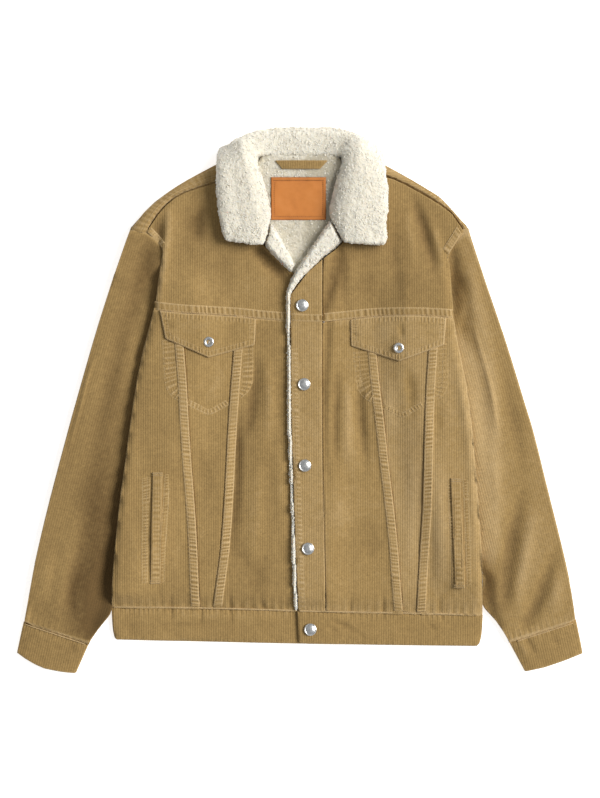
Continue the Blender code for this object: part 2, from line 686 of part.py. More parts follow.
def front_yoke_heights(x, y, from_edge, below_armhole):
    under = back_top(x, y) + LAYER_GAP
    over = front_top(x, y) - edge_drop(from_edge, EDGE_RADIUS) * below_armhole
    return under, max(over, under + THIN_EDGE)


def back_yoke_heights(x, y, from_edge, below_armhole):
    rounding = edge_drop(from_edge, UNDER_RADIUS) * UNDER_SHARE * below_armhole
    return ground(x, y) + rounding, back_top(x, y)


def lapping_yoke_heights(x, y, from_edge, below_armhole):
    """The left yoke also comes down from the lapped front beside the placket."""
    under, over = front_yoke_heights(x, y, from_edge, below_armhole)
    from_lap = x - YOKE_INNER["left"][0][0]
    beside = smooth((LAP_ENDS - y) / LAP_END_RUN)
    under += (WALL + LAYER_GAP) * (1.0 - smooth((from_lap - SEAM_INSET) / LAP_UNDER_RUN)) * beside
    over += PLACKET_WALL * (1.0 - smooth(from_lap / LAP_OVER_RUN)) * beside
    return under, over


def shoulder_band(side):
    """The back yoke where it wraps forward, from the shoulder seam to the top of the shoulder."""
    rows = []
    for out in SHOULDER_OUTS:
        row = []
        for across in yoke_shares(side, 1.0):
            start = yoke_point(side, across, 1.0)
            end = along(SHOULDER_TOP[side], across)
            place = start.lerp(end, out)
            from_top = (end - place).length
            under, over = ground(*place), back_top(*place)
            if out > 0.0:
                under += edge_drop(from_top, UNDER_RADIUS) * UNDER_SHARE
                over = max(front_top(*place) - edge_drop(from_top, EDGE_RADIUS), under + THIN_EDGE)
            row.append(((*place, under), (*place, over)))
        rows.append(row if side == "right" else row[::-1])
    return rows


def neck_grid(shares, ups, heights, inset=0.0):
    """The middle of the back yoke, between the inner edges of the two front yokes."""
    rows = []
    for up in ups:
        start = along(yoke_edge(YOKE_INNER, "right"), up)
        end = along(yoke_edge(YOKE_INNER, "left"), up)
        row = []
        for share in shares:
            place = start.lerp(end, lerp(inset, 1.0 - inset, share))
            bow = 1.0 - (2.0 * share - 1.0) ** 4
            place.y += (NECK_SEAM_Y - place.y) * bow * smooth((up - 0.55) / 0.45)
            under, over = heights(place.x, place.y)
            row.append(((*place, under), (*place, over)))
        rows.append(row)
    return rows


def build_yokes():
    """Front yokes, back yoke and the lining of the back neck."""
    cloth("front_yoke_right", [yoke_grid("right", front_yoke_heights, SEAM_INSET * 2)], "corduroy")
    cloth("front_yoke_left", [yoke_grid("left", lapping_yoke_heights, SEAM_INSET * 2)], "corduroy")
    shares = [k / NECK_COLUMNS for k in range(NECK_COLUMNS + 1)]
    back = [neck_grid(shares, YOKE_UPS, lambda x, y: (ground(x, y), back_top(x, y)))]
    for side in ("right", "left"):
        back += [yoke_grid(side, back_yoke_heights, 0.0), shoulder_band(side)]
    cloth("back_yoke", back, "corduroy")
    cloth("neck_lining", [neck_grid(shares, LINING_UPS, lining_heights, LINING_INSET)], "sherpa")


def lining_heights(x, y):
    under = back_top(x, y) + LAYER_GAP
    return under, under + LINING_WALL


def lining_top(x, y):
    return lining_heights(x, y)[1]


def strip(rows, unders, across_steps, radius):
    """A strip of pile, rounded on both sides, between an inner and an outer line."""
    grid = []
    for inner_x, inner_y, outer_x, outer_y, top in rows:
        inner, outer = Vector((inner_x, inner_y)), Vector((outer_x, outer_y))
        width = (outer - inner).length
        round_by = min(radius, width / 2.0)
        row = []
        for k in range(across_steps + 1):
            share = 0.5 - 0.5 * math.cos(math.pi * k / across_steps)
            place = inner.lerp(outer, share)
            under = unders(place.x, place.y)
            over = top - edge_drop(min(share, 1.0 - share) * width, round_by)
            row.append(((*place, under), (*place, over)))
        grid.append(row)
    return grid


def build_facings():
    """The sherpa facings that show in the V and along the edge of the lapping front."""
    def over_lining(x, y):
        return lining_top(x, y + FACING_CLEARANCE) + LAYER_GAP

    def over_right_front(x, y):
        lapped = back_top(x, y) + wall_at(x, y) + 2.0 * LAYER_GAP
        return lerp(lapped, over_lining(x, y), smooth((y - FACING_PARTS) / FACING_RISE_RUN))

    cloth("facing_right", [strip(FACING_RIGHT, over_lining, 5, 3.0)], "sherpa")
    cloth("facing_left", [strip(FACING_LEFT, over_right_front, 4, 2.5)], "sherpa")


def sleeve_place(side, row, distance):
    """A point of a sleeve at a distance from its outer edge, its share across, and the width there."""
    ends = curve(SLEEVES[side], row)
    outer, inner = Vector(ends[0:2]), Vector(ends[2:4])
    width = (inner - outer).length
    share = distance / width
    first = SLEEVES[side][0]
    bow = along(ARMHOLES[side], share) - Vector(first[0:2]).lerp(Vector(first[2:4]), share)
    place = outer.lerp(inner, share) + bow * (1.0 - smooth(row / 2.5))
    away = Vector((math.copysign(ARMHOLE_GAP, outer.x), -ARMHOLE_GAP))
    return place + away * (1.0 - smooth(row)), share, width


def body_side(side, y, x):
    """Across to the side of the body, level with y."""
    body_down = (height_on(YOKE_SEAM, x) - y) / BODY_LENGTH
    if body_down < 0.0:
        return along(YOKE_OUTER[side], min((y - YOKE_OUTER[side][0][1]) / 100.0, 1.0)).x
    level = at_level(BODY_LEVELS, min(body_down, 1.0))
    return level[1] if side == "right" else level[9]


def sleeve_top_height(side, place, share, row, from_outer, from_inner):
    """Height of the top of a sleeve: full in the open, pressed flat where the body lies on it."""
    down = row / (len(SLEEVES[side]) - 1)
    full = lerp(back_top(*place) + WALL, SLEEVE_HEIGHT, smooth(down / 0.22))
    full = lerp(full, SLEEVE_HEIGHT_AT_CUFF, smooth((down - 0.93) / 0.07))
    for at_share, at_down, half_share, half_down, height in SLEEVE_FOLDS[side]:
        away = ((share - at_share) / half_share) ** 2 + ((down - at_down) / half_down) ** 2
        full += height * math.exp(-away)
    full -= edge_drop(from_outer, 8.0) * (full - SLEEVE_LOW_EDGE) / 8.0
    tucked = TUCKED_RISE - 2.0 * LAYER_GAP
    side_x = body_side(side, place.y, place.x)
    inside = place.x - side_x if side == "right" else side_x - place.x
    level_with_body = smooth((180.0 - place.y) / 20.0) * smooth((place.y + 268.0) / 12.0)
    height = lerp(full, tucked, smooth((inside + 24.0) / 16.0) * level_with_body)
    return height - edge_drop(from_inner, 5.0) * (height - SLEEVE_INNER_EDGE) / 5.0


def sleeve_column(side, row, distance):
    """A point of a sleeve: its place, the lowest height there and the height of the top."""
    place, share, width = sleeve_place(side, row, distance)
    top = sleeve_top_height(side, place, share, row, distance, width - distance)
    low = min(edge_drop(distance, 6.0), 4.0) + min(edge_drop(width - distance, 4.0), 3.4)
    return place, low, top


def build_sleeve(side):
    """A sleeve in two pieces: the under sleeve wraps round the outer edge as far as the felled seam."""
    wrap_rows, under_rows, top_rows = [], [], []
    seam = SLEEVE_WRAP + 2.0 * SEAM_INSET
    for k in range(SLEEVE_ALONG + 1):
        row = k / SLEEVE_ALONG * (len(SLEEVES[side]) - 1)
        width = sleeve_place(side, row, 0.0)[2]
        middle = [lerp(seam, width - SLEEVE_ENDS[0], j / 6) for j in range(1, 6)]
        inner = [*middle, *(width - column for column in SLEEVE_ENDS)]
        wrap_row = []
        for distance in SLEEVE_STARTS:
            place, low, top = sleeve_column(side, row, distance)
            wrap_row.append(((*place, low), (*place, max(top, low + 1.2))))
        wrap_rows.append(wrap_row)
        under_row = [wrap_row[-1]]
        for distance in (seam, *inner):
            place, low, top = sleeve_column(side, row, distance)
            under_row.append(((*place, low), (*place, SLEEVE_UNDER_WALL)))
        under_rows.append(under_row)
        top_row = []
        for distance in (seam + 2.0 * SEAM_INSET, *inner):
            place, low, top = sleeve_column(side, row, distance)
            under = SLEEVE_UNDER_WALL + LAYER_GAP
            top_row.append(((*place, under), (*place, max(top, under + 0.6))))
        top_rows.append(top_row)
    cloth(f"sleeve_under_{side}", [wrap_rows, under_rows], "corduroy")
    cloth(f"sleeve_top_{side}", [top_rows], "corduroy")


def cuff_ring(side, down, trim, height):
    """One ring of a cuff: across its underside and back across its top."""
    last = SLEEVES[side][-1]
    seam = (Vector(last[0:2]), Vector(last[2:4]))
    centre = seam[0].lerp(seam[1], 0.5).lerp(along(CUFF_HEMS[side], 0.5), down)
    shrink = 1.0 - 2.0 * trim / (seam[0] - seam[1]).length
    ring = []
    for turn in (-1.0, 1.0):
        for k in range(CUFF_STEPS + 1):
            share = k / CUFF_STEPS if turn < 0.0 else 1.0 - k / CUFF_STEPS
            start = seam[0].lerp(seam[1], share)
            end = along(CUFF_HEMS[side], share)
            place = centre + (start.lerp(end, down) - centre) * shrink
            if down == 0.0:
                place += (end - start).normalized() * SEAM_INSET * 2
            flatness = CUFF_CORNER if k in (0, CUFF_STEPS) else 1.0
            ring.append((*place, CUFF_WALL + LAYER_GAP / 2 + turn * height * flatness))
    return ring + ring[:1]


def build_cuff(side):
    """A cuff: one strip closed into a flattened tube, sewn to the end of the sleeve."""
    rows = []
    for down in (0.0, 0.3, 0.65, 1.0):
        outside = cuff_ring(side, down, 0.0, CUFF_WALL + LAYER_GAP / 2)
        inside = cuff_ring(side, down, CUFF_WALL, LAYER_GAP / 2)
        rows.append(list(zip(inside, outside)))
    cloth(f"cuff_{side}", [rows], "corduroy")


def band_rounding(from_side, from_hem):
    return min(edge_drop(from_side, 4.0) + edge_drop(from_hem, 3.0), 3.4)


def band_back(x, from_side, from_hem):
    return min(band_rounding(from_side, from_hem), 2.5), BAND_WALL


def band_right(x, from_side, from_hem):
    under = BAND_WALL + LAYER_GAP
    return under, under + BAND_WALL - band_rounding(from_side, from_hem)


def band_left(x, from_side, from_hem):
    """The left band comes down beside the lap from on top of the right one."""
    lapped = BAND_WALL + LAYER_GAP
    under = lapped + lapped * (1.0 - smooth((x - BAND_LAP_END) / 20.0))
    over = lapped + BAND_WALL + lapped * (1.0 - smooth((x - BAND_LAP_END) / LAP_OVER_RUN))
    return under, over - band_rounding(from_side, from_hem)


def band_rows(columns, heights):
    """Rows of one waistband piece. Each column is a start and end in BAND_LEVELS and the share between."""
    rows = []
    for level in BAND_LEVELS:
        down = level[0]
        row = []
        for start, end, share in columns:
            x = lerp(BAND_UNDER_END if start is None else level[start],
                     BAND_UNDER_END if end is None else level[end], share)
            y = lerp(height_on(WAIST_SEAM, x) - SEAM_INSET, height_on(HEM, x), down)
            from_side = min(x - level[1], level[3] - x)
            under, over = heights(x, from_side, (1.0 - down) * BAND_HEIGHT)
            row.append(((x, y, under), (x, y, over)))
        rows.append(row)
    return rows


def build_waistband():
    """Waistband: the back, the right front and the left front that laps over it."""
    right_columns = [(1, None, share) for share in BAND_RIGHT_SHARES]
    left_columns = [(2, 3, share) for share in BAND_LEFT_SHARES]
    back_columns = right_columns + [(None, 3, share) for share in BAND_LEFT_SHARES[5:]]
    cloth("waistband_back", [band_rows(back_columns, band_back)], "corduroy")
    cloth("waistband_right", [band_rows(right_columns, band_right)], "corduroy")
    cloth("waistband_left", [band_rows(left_columns, band_left)], "corduroy")


def collar_middle(along_share, across_share):
    """A point halfway through the collar's thickness."""
    sections = [curve(section, across_share * 4.0) for section in COLLAR]
    return curve(sections, along_share * (len(COLLAR) - 1))


def build_collar():
    """The collar: a thick ribbon that stands from the neck seam, rolls over and falls to its free edge."""
    step = 0.004
    rows = []
    for i in range(COLLAR_ALONG + 1):
        u = i / COLLAR_ALONG
        row = []
        for j in range(COLLAR_ACROSS + 1):
            v = 0.5 - 0.5 * math.cos(math.pi * j / COLLAR_ACROSS)
            lengthways = collar_middle(min(u + step, 1.0), v) - collar_middle(max(u - step, 0.0), v)
            sideways = collar_middle(u, min(v + step, 1.0)) - collar_middle(u, max(v - step, 0.0))
            normal = sideways.cross(lengthways).normalized()
            from_edge = min(min(v, 1.0 - v) * COLLAR_WIDTH, min(u, 1.0 - u) * COLLAR_LENGTH + 0.6)
            half = COLLAR_WALL / 2.0
            half -= edge_drop(from_edge, half) * UNDER_SHARE
            place = collar_middle(u, v)
            row.append((place - normal * half, place + normal * half))
        rows.append(row)
    cloth("collar", [rows], "sherpa")


def build_neck_trim():
    """The plain neck patch and the hanger loop."""
    left, right, low, high = PATCH
    patch = []
    for j in range(4):
        row = []
        for i in range(5):
            x, y = lerp(left, right, i / 4), lerp(low, high, j / 3)
            under = lining_top(x, y) + LAYER_GAP
            row.append(((x, y, under), (x, y, under + PATCH_WALL)))
        patch.append(row)
    cloth("neck_patch", [patch], "patch_leather")
    loop = []
    for up in (0.0, 0.5, 1.0):
        start = lerp(LOOP_LOWER[0], LOOP_TOP[0], up)
        end = lerp(LOOP_LOWER[1], LOOP_TOP[1], up)
        row = []
        for k in range(LOOP_STEPS + 1):
            share = k / LOOP_STEPS
            x, y = lerp(start, end, share), lerp(*LOOP_Y, up)
            under = lining_top(x, y) + LAYER_GAP + LOOP_ARCH * math.sin(math.pi * share) ** 0.7
            row.append(((x, y, under), (x, y, under + LOOP_WALL)))
        loop.append(row)
    cloth("hanger_loop", [loop], "corduroy")


def flap_top(x, y, from_seam):
    """Height of a pocket flap, which leaves the yoke seam and lies over the felled seams."""
    wall = lerp(FLAP_WALL - 1.0, FLAP_WALL, smooth(from_seam / FELL_WIDTH))
    return front_top(x, y) + FELL_RISE + LAYER_GAP + wall


def flap_middle_top(x, y):
    return flap_top(x, y, FELL_WIDTH)


def lapped_band_top(x, y):
    return 3.0 * BAND_WALL + 2.0 * LAYER_GAP


def build_flap(side):
    upper_start, upper_end, lower_start, point, lower_end = (Vector(corner) for corner in FLAPS[side])
    rows = []
    for down in FLAP_DOWNS:
        row = []
        for k in range(FLAP_STEPS + 1):
            share = k / FLAP_STEPS
            top = upper_start.lerp(upper_end, share)
            top.y = height_on(YOKE_SEAM, top.x) - SEAM_INSET * 3
            if share < 0.5:
                bottom = lower_start.lerp(point, share * 2.0)
            else:
                bottom = point.lerp(lower_end, share * 2.0 - 1.0)
            place = top.lerp(bottom, down)
            under = front_top(*place) + FELL_RISE + LAYER_GAP
            over = flap_top(*place, (top - place).length)
            if down == 1.0 or k in (0, FLAP_STEPS):
                over -= TRIM_ROUNDING
            row.append(((*place, under), (*place, over)))
        rows.append(row)
    cloth(f"pocket_flap_{side}", [rows], "corduroy")


def build_welt(side):
    upper_start, upper_end, lower_start, lower_end = (Vector(corner) for corner in WELTS[side])
    rows = []
    for j in range(WELT_STEPS + 1):
        down = j / WELT_STEPS
        row = []
        for share in (0.0, 0.12, 0.88, 1.0):
            place = upper_start.lerp(lower_start, down).lerp(upper_end.lerp(lower_end, down), share)
            under = front_top(*place) + LAYER_GAP * 2
            rounding = TRIM_ROUNDING if share in (0.0, 1.0) or down in (0.0, 1.0) else 0.0
            row.append(((*place, under), (*place, under + WELT_WALL - rounding)))
        rows.append(row)
    cloth(f"welt_{side}", [rows], "corduroy")


def build_buttons():
    """Shank buttons of the placket and waistband, and the smaller ones of the flaps."""
    for number, place in enumerate(PLACKET_BUTTONS, start=1):
        height = placket_top if number < len(PLACKET_BUTTONS) else lapped_band_top
        turned(f"placket_button_{number}", PLACKET_BUTTON, place, height, "button_metal")
    for side, place in FLAP_BUTTONS.items():
        turned(f"flap_button_{side}", FLAP_BUTTON, place, flap_middle_top, "button_metal")


for leftover in list(bpy.data.objects):
    bpy.data.objects.remove(leftover, do_unlink=True)
collection = bpy.data.collections.new("sherpa_jacket")
bpy.context.scene.collection.children.link(collection)
jacket = bpy.data.objects.new("jacket", None)
collection.objects.link(jacket)
materials = {slot: make_material(slot) for slot in SLOTS}

build_body()
build_yokes()
build_facings()
for garment_side in ("right", "left"):
    build_sleeve(garment_side)
    build_cuff(garment_side)
    build_flap(garment_side)
    build_welt(garment_side)
build_waistband()
build_collar()
build_neck_trim()
build_buttons()
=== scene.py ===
import math

import bpy
import numpy as np
from mathutils.bvhtree import BVHTree
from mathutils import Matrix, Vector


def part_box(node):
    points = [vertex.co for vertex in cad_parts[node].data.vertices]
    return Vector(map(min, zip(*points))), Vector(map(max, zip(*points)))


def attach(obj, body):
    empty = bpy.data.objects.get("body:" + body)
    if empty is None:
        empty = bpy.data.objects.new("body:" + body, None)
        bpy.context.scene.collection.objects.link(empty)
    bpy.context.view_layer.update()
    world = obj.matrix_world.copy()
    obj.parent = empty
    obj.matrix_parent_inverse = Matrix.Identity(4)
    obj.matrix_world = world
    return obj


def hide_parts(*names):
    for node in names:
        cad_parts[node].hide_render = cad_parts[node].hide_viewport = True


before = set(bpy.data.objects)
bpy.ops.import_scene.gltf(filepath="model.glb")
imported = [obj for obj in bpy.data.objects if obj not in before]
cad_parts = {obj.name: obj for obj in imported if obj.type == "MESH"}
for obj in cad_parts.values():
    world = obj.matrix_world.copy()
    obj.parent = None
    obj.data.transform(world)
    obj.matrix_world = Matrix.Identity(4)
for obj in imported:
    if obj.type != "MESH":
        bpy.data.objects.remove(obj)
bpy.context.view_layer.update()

# ---------------------------------------------------------------------------
# The table, the light and the camera
# The jacket lies flat on a plain white light table. A large soft light stands to
# its upper right, the room fills in the rest, and the camera looks straight down.
# ---------------------------------------------------------------------------
VIEW_CENTRE = (0.0007, 0.00135)
VIEW_HEIGHT = 1.0773  # what the view's long side covers, at the height of the cloth
LENS = 200.0
SENSOR = 36.0
CLOTH_HEIGHT = 0.018
KEY_BEARING = math.radians(16)
KEY_ABOVE = math.radians(42)
KEY_WIDTH = math.radians(32)
KEY_STRENGTH = 3.75
KEY_COLOUR = (1.0, 0.985, 0.965)
ROOM_STRENGTH = 0.34
ROOM_COLOUR = (0.96, 0.98, 1.0, 1)
TABLE_GLOW = 0.70  # it is lit from inside, so that no shadow falls on it
FLOOR_SIDE = 16.0
FLOOR_BELOW = 0.0004  # so that the cloth never meets it
FLOOR_COLOUR = (0.93, 0.93, 0.93, 1)

scene = bpy.context.scene
scene.view_settings.view_transform = "Standard"

lens_data = bpy.data.cameras.new("camera")
lens_data.lens = LENS
lens_data.sensor_width = SENSOR
camera = bpy.data.objects.new("camera", lens_data)
camera.location = (*VIEW_CENTRE, CLOTH_HEIGHT + VIEW_HEIGHT * LENS / SENSOR)
scene.collection.objects.link(camera)
scene.camera = camera

key_data = bpy.data.lights.new("key", "SUN")
key_data.energy = KEY_STRENGTH
key_data.angle = KEY_WIDTH
key_data.color = KEY_COLOUR
key = bpy.data.objects.new("key", key_data)
key.rotation_euler = (0, math.pi / 2 - KEY_ABOVE, KEY_BEARING)
scene.collection.objects.link(key)

room = bpy.data.worlds.new("room")
room.use_nodes = True
room_nodes = room.node_tree.nodes
room_nodes["Background"].inputs["Color"].default_value = ROOM_COLOUR
room_nodes["Background"].inputs["Strength"].default_value = ROOM_STRENGTH
scene.world = room

floor_paint = bpy.data.materials.new("white_table")
floor_paint.use_nodes = True
floor_shader = floor_paint.node_tree.nodes["Principled BSDF"]
floor_shader.inputs["Base Color"].default_value = FLOOR_COLOUR
floor_shader.inputs["Roughness"].default_value = 0.8
floor_shader.inputs["Emission Color"].default_value = (1, 1, 1, 1)
floor_shader.inputs["Emission Strength"].default_value = TABLE_GLOW
half = FLOOR_SIDE / 2
floor_mesh = bpy.data.meshes.new("table")
floor_corners = [(x * half, y * half, -FLOOR_BELOW) for x, y in ((-1, -1), (1, -1), (1, 1), (-1, 1))]
floor_mesh.from_pydata(floor_corners, [], [(0, 1, 2, 3)])
floor_mesh.materials.append(floor_paint)
floor = bpy.data.objects.new("table", floor_mesh)
scene.collection.objects.link(floor)

# ---------------------------------------------------------------------------
# The back panel and the back yoke
# Corduroy with sherpa pile behind it, the ribs running up and down on the
# outside, which lies on the table. The yoke is sewn on across the back and
# comes over the shoulders. The pile faces the front, inside the jacket.
# ---------------------------------------------------------------------------
RIB = 3.15  # from one rib of the corduroy to the next, mm
RIB_HEIGHT = 0.4
FAR = 1e3  # mm, further than any two places of the jacket are apart
NOISE_CELLS = 64


def noise(x, y, scale, seed):
    """A smooth random field from -1 to 1, its lumps about scale apart."""
    table = np.random.default_rng(seed).uniform(-1, 1, (NOISE_CELLS, NOISE_CELLS))
    fx, fy = x / scale, y / scale
    ix, iy = np.floor(fx).astype(int), np.floor(fy).astype(int)
    tx, ty = fx - ix, fy - iy
    tx, ty = tx * tx * (3 - 2 * tx), ty * ty * (3 - 2 * ty)
    this, following = ix % NOISE_CELLS, (ix + 1) % NOISE_CELLS
    low, high = (table[this, row % NOISE_CELLS] * (1 - tx) + table[following, row % NOISE_CELLS] * tx
                 for row in (iy, iy + 1))
    return low * (1 - ty) + high * ty


def spread(grid):
    """The grid with its empty places filled from their neighbours."""
    while np.isnan(grid).any():
        padded = np.pad(grid, 1, constant_values=np.nan)
        near = np.stack([padded[1 + i:padded.shape[0] - 1 + i, 1 + j:padded.shape[1] - 1 + j]
                         for i in (-1, 0, 1) for j in (-1, 0, 1)])
        known = ~np.isnan(near)
        count = known.sum(0)
        mean = np.where(known, near, 0).sum(0) / np.maximum(count, 1)
        grid = np.where(np.isnan(grid) & (count > 0), mean, grid)
    return grid


FORM_STEP = 4.0  # from one reading of a solid's height to the next
ABOVE, BELOW = 200.0, -50.0  # well clear of the jacket, where those readings start
UP, DOWN = (0, 0, 1), (0, 0, -1)


class Form:
    """The upper and under side of a solid of the frame, or of several as one, smoothed, in mm."""

    def __init__(self, *names, step=FORM_STEP, shaved=0):
        points, faces, count = [], [], 0
        for name in names:
            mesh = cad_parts[name].data
            mesh.calc_loop_triangles()
            corners = np.empty(len(mesh.vertices) * 3)
            mesh.vertices.foreach_get("co", corners)
            triangles = np.empty(len(mesh.loop_triangles) * 3, dtype=np.int32)
            mesh.loop_triangles.foreach_get("vertices", triangles)
            points.append(corners.reshape(-1, 3) * 1000)
            faces.append(triangles.reshape(-1, 3) + count)
            count += len(mesh.vertices)
        self.points, self.faces = np.concatenate(points), np.concatenate(faces)
        self.tree = BVHTree.FromPolygons(self.points.tolist(), self.faces.tolist())
        self.step = step
        low, high = self.points.min(0), self.points.max(0)
        self.corner = low[:2] - 4 * step
        size = np.ceil((high[:2] - self.corner) / step).astype(int) + 5
        upper, under = np.full(size, np.nan), np.full(size, np.nan)
        for i in range(size[0]):
            for j in range(size[1]):
                place = self.corner + step * np.array((i, j))
                hit = self.tree.ray_cast((*place, ABOVE), DOWN)[0]
                if hit is not None:
                    upper[i, j] = hit.z
                    under[i, j] = self.tree.ray_cast((*place, BELOW), UP)[0].z
        for _ in range(shaved):  # without its steep edges, so that the top runs level past them
            known = np.pad(~np.isnan(upper), 1)
            upper[~(known[:-2, 1:-1] & known[2:, 1:-1] & known[1:-1, :-2] & known[1:-1, 2:])] = np.nan
        self.upper, self.under = spread(upper), spread(under)

    def read(self, grid, x, y):
        """The height at x, y, by a smooth blend of the sixteen nearest readings."""
        fx = np.clip((x - self.corner[0]) / self.step, 1, grid.shape[0] - 3.001)
        fy = np.clip((y - self.corner[1]) / self.step, 1, grid.shape[1] - 3.001)
        ix, iy = fx.astype(int), fy.astype(int)
        total = np.zeros_like(fx)
        for i, wx in enumerate(spline(fx - ix)):
            for j, wy in enumerate(spline(fy - iy)):
                total += wx * wy * grid[ix + i - 1, iy + j - 1]
        return total

    def top(self, x, y):
        return self.read(self.upper, x, y)

    def bottom(self, x, y):
        return self.read(self.under, x, y)


def spline(t):
    """The weights of four neighbours in a row, at a share t of the way between the middle two."""
    return ((1 - t) ** 3 / 6, (3 * t ** 3 - 6 * t * t + 4) / 6,
            (-3 * t ** 3 + 3 * t * t + 3 * t + 1) / 6, t ** 3 / 6)


class Grain:
    """Which way the ribs run: u counts across them and v along them, in millimetres."""

    def __init__(self, angle=0.0, centre=(0.0, 0.0), bend=0.0):
        self.cos, self.sin = math.cos(math.radians(angle)), math.sin(math.radians(angle))
        self.centre, self.bend = centre, bend

    def cloth(self, x, y):
        dx, dy = x - self.centre[0], y - self.centre[1]
        v = dy * self.cos - dx * self.sin
        return dx * self.cos + dy * self.sin - self.bend * v * v, v

    def place(self, u, v):
        across = u + self.bend * v * v
        return (self.centre[0] + across * self.cos - v * self.sin,
                self.centre[1] + across * self.sin + v * self.cos)


def spans(u, v, faces, at):
    """The lowest and highest v of the triangles along each line u = at."""
    ends = np.concatenate([faces[:, [0, 1]], faces[:, [1, 2]], faces[:, [2, 0]]])
    ends = ends[np.abs(u[ends[:, 0]] - u[ends[:, 1]]) > 1e-6]
    ua, ub, va, vb = u[ends[:, 0]], u[ends[:, 1]], v[ends[:, 0]], v[ends[:, 1]]
    least, most = np.minimum(ua, ub), np.maximum(ua, ub)
    low, high = np.empty(len(at)), np.empty(len(at))
    for k, line in enumerate(at):
        on = (least <= line) & (most >= line)
        cut = va[on] + (vb[on] - va[on]) * (line - ua[on]) / (ub[on] - ua[on])
        low[k], high[k] = cut.min(), cut.max()
    return low, high


BITE_JUMP = 20.0  # an end that moves this far from one column to the next is a bite's


def carried(ends):
    """The columns' ends; past a place where a side bites into the piece, its last end carried on."""
    middle = len(ends) // 2
    for k in range(middle, len(ends) - 1):
        if abs(ends[k + 1] - ends[k]) > BITE_JUMP:
            ends[k + 1:] = ends[k]
    for k in range(middle, 0, -1):
        if abs(ends[k - 1] - ends[k]) > BITE_JUMP:
            ends[:k] = ends[k]
    return ends


LEVEL_CLEAR, LEVEL_STEP = 0.05, 1.5


def levels_of(v):
    """The heights at which the width of a piece is read."""
    return np.arange(v.min() + LEVEL_CLEAR, v.max() - LEVEL_CLEAR, LEVEL_STEP)


RIB_STEPS = 4  # columns of faces to a rib
ROW_ENDS = (0.0, 0.6, 1.4, 2.6, 4.4)  # the rows of faces close to a cut end
ROW_END_RUN = 7.0
CUT_CLEAR = 0.12  # the outermost column stays this far inside the solid
LEAST_COLUMN = 0.15
EDGE_CROWD = 1.2  # the width that the columns cut off by a bite are crowded into
CROWD_SHARE, CROWD_STEP = 0.2, 0.1  # at most this share of the piece's width, and of a mm each


class Panel:
    """A cut piece of cloth as columns that follow its ribs, with its distance from each edge."""

    def __init__(self, form, grain=Grain(), rows=6.0, steps=RIB_STEPS, bitten=False):
        self.form, self.grain = form, grain
        pu, pv = grain.cloth(form.points[:, 0], form.points[:, 1])
        pitch = RIB / steps
        first, last = pu.min() + CUT_CLEAR, pu.max() - CUT_CLEAR
        columns = np.arange(math.ceil(first / pitch), math.floor(last / pitch) + 1) * pitch
        columns = columns[(columns > first + LEAST_COLUMN) & (columns < last - LEAST_COLUMN)]
        columns = np.concatenate([[first], columns, [last]])
        low, high = spans(pu, pv, form.faces, columns)
        if bitten:
            low, high = carried(low), carried(high)
        levels = levels_of(pv)
        left, right = spans(pv, pu, form.faces, levels)
        scale = np.minimum(1, (high - low) / (4 * ROW_END_RUN))[:, None]
        count = max(2, math.ceil(((high - low).max() - 2 * ROW_END_RUN) / rows) + 1)
        share = np.linspace(0, 1, count)[None, :]
        length = (high - low)[:, None]
        near = np.array(ROW_ENDS)[None, :] * scale
        middle = ROW_END_RUN * scale + share * (length - 2 * ROW_END_RUN * scale)
        v = low[:, None] + np.concatenate([near, middle, length - near[:, ::-1]], axis=1)
        u = np.broadcast_to(columns[:, None], v.shape)
        self.left = np.interp(v, levels, left)
        self.right = np.interp(v, levels, right)
        order = np.arange(len(columns))[:, None]
        room = np.minimum(EDGE_CROWD, CROWD_SHARE * (self.right - self.left))
        after = room * pitch / np.maximum(self.left - first, room) * bitten
        before = room * pitch / np.maximum(last - self.right, room) * bitten
        self.u = np.clip(u, self.left + np.minimum(after, CROWD_STEP) * order,
                         self.right - np.minimum(before, CROWD_STEP) * order[::-1])
        self.v = v
        self.x, self.y = grain.place(self.u, v)
        self.low, self.high = v - low[:, None], high[:, None] - v
        self.left, self.right = self.u - self.left, self.right - self.u
        self.edge = np.full(v.shape, FAR)
        for along in (self.low, self.high):
            for across in (self.left, self.right):
                near = along * across / np.maximum(np.hypot(along, across), 1e-6)
                self.edge = np.minimum(self.edge, near)


RIB_FULLNESS = 2.4  # 2 is a parabola, and more is flatter on top


def ribs(u):
    """The height of the corduroy's ribs at u, from 0 in a groove to 1 on a crown."""
    return 1 - (2 * np.abs((u / RIB) % 1.0 - 0.5)) ** RIB_FULLNESS


EDGE_ROLL = 2.4  # how far in a cut edge is rounded, and how far it comes down
EDGE_DROP = 1.5


def rolled(edge, reach=EDGE_ROLL, drop=EDGE_DROP):
    """How far a rounded edge has come down, edge mm in from where it is cut."""
    inward = np.clip(1 - edge / reach, 0, 1)
    return drop * (1 - np.sqrt(1 - inward ** 2))


SHARP_ANGLE = math.radians(70)


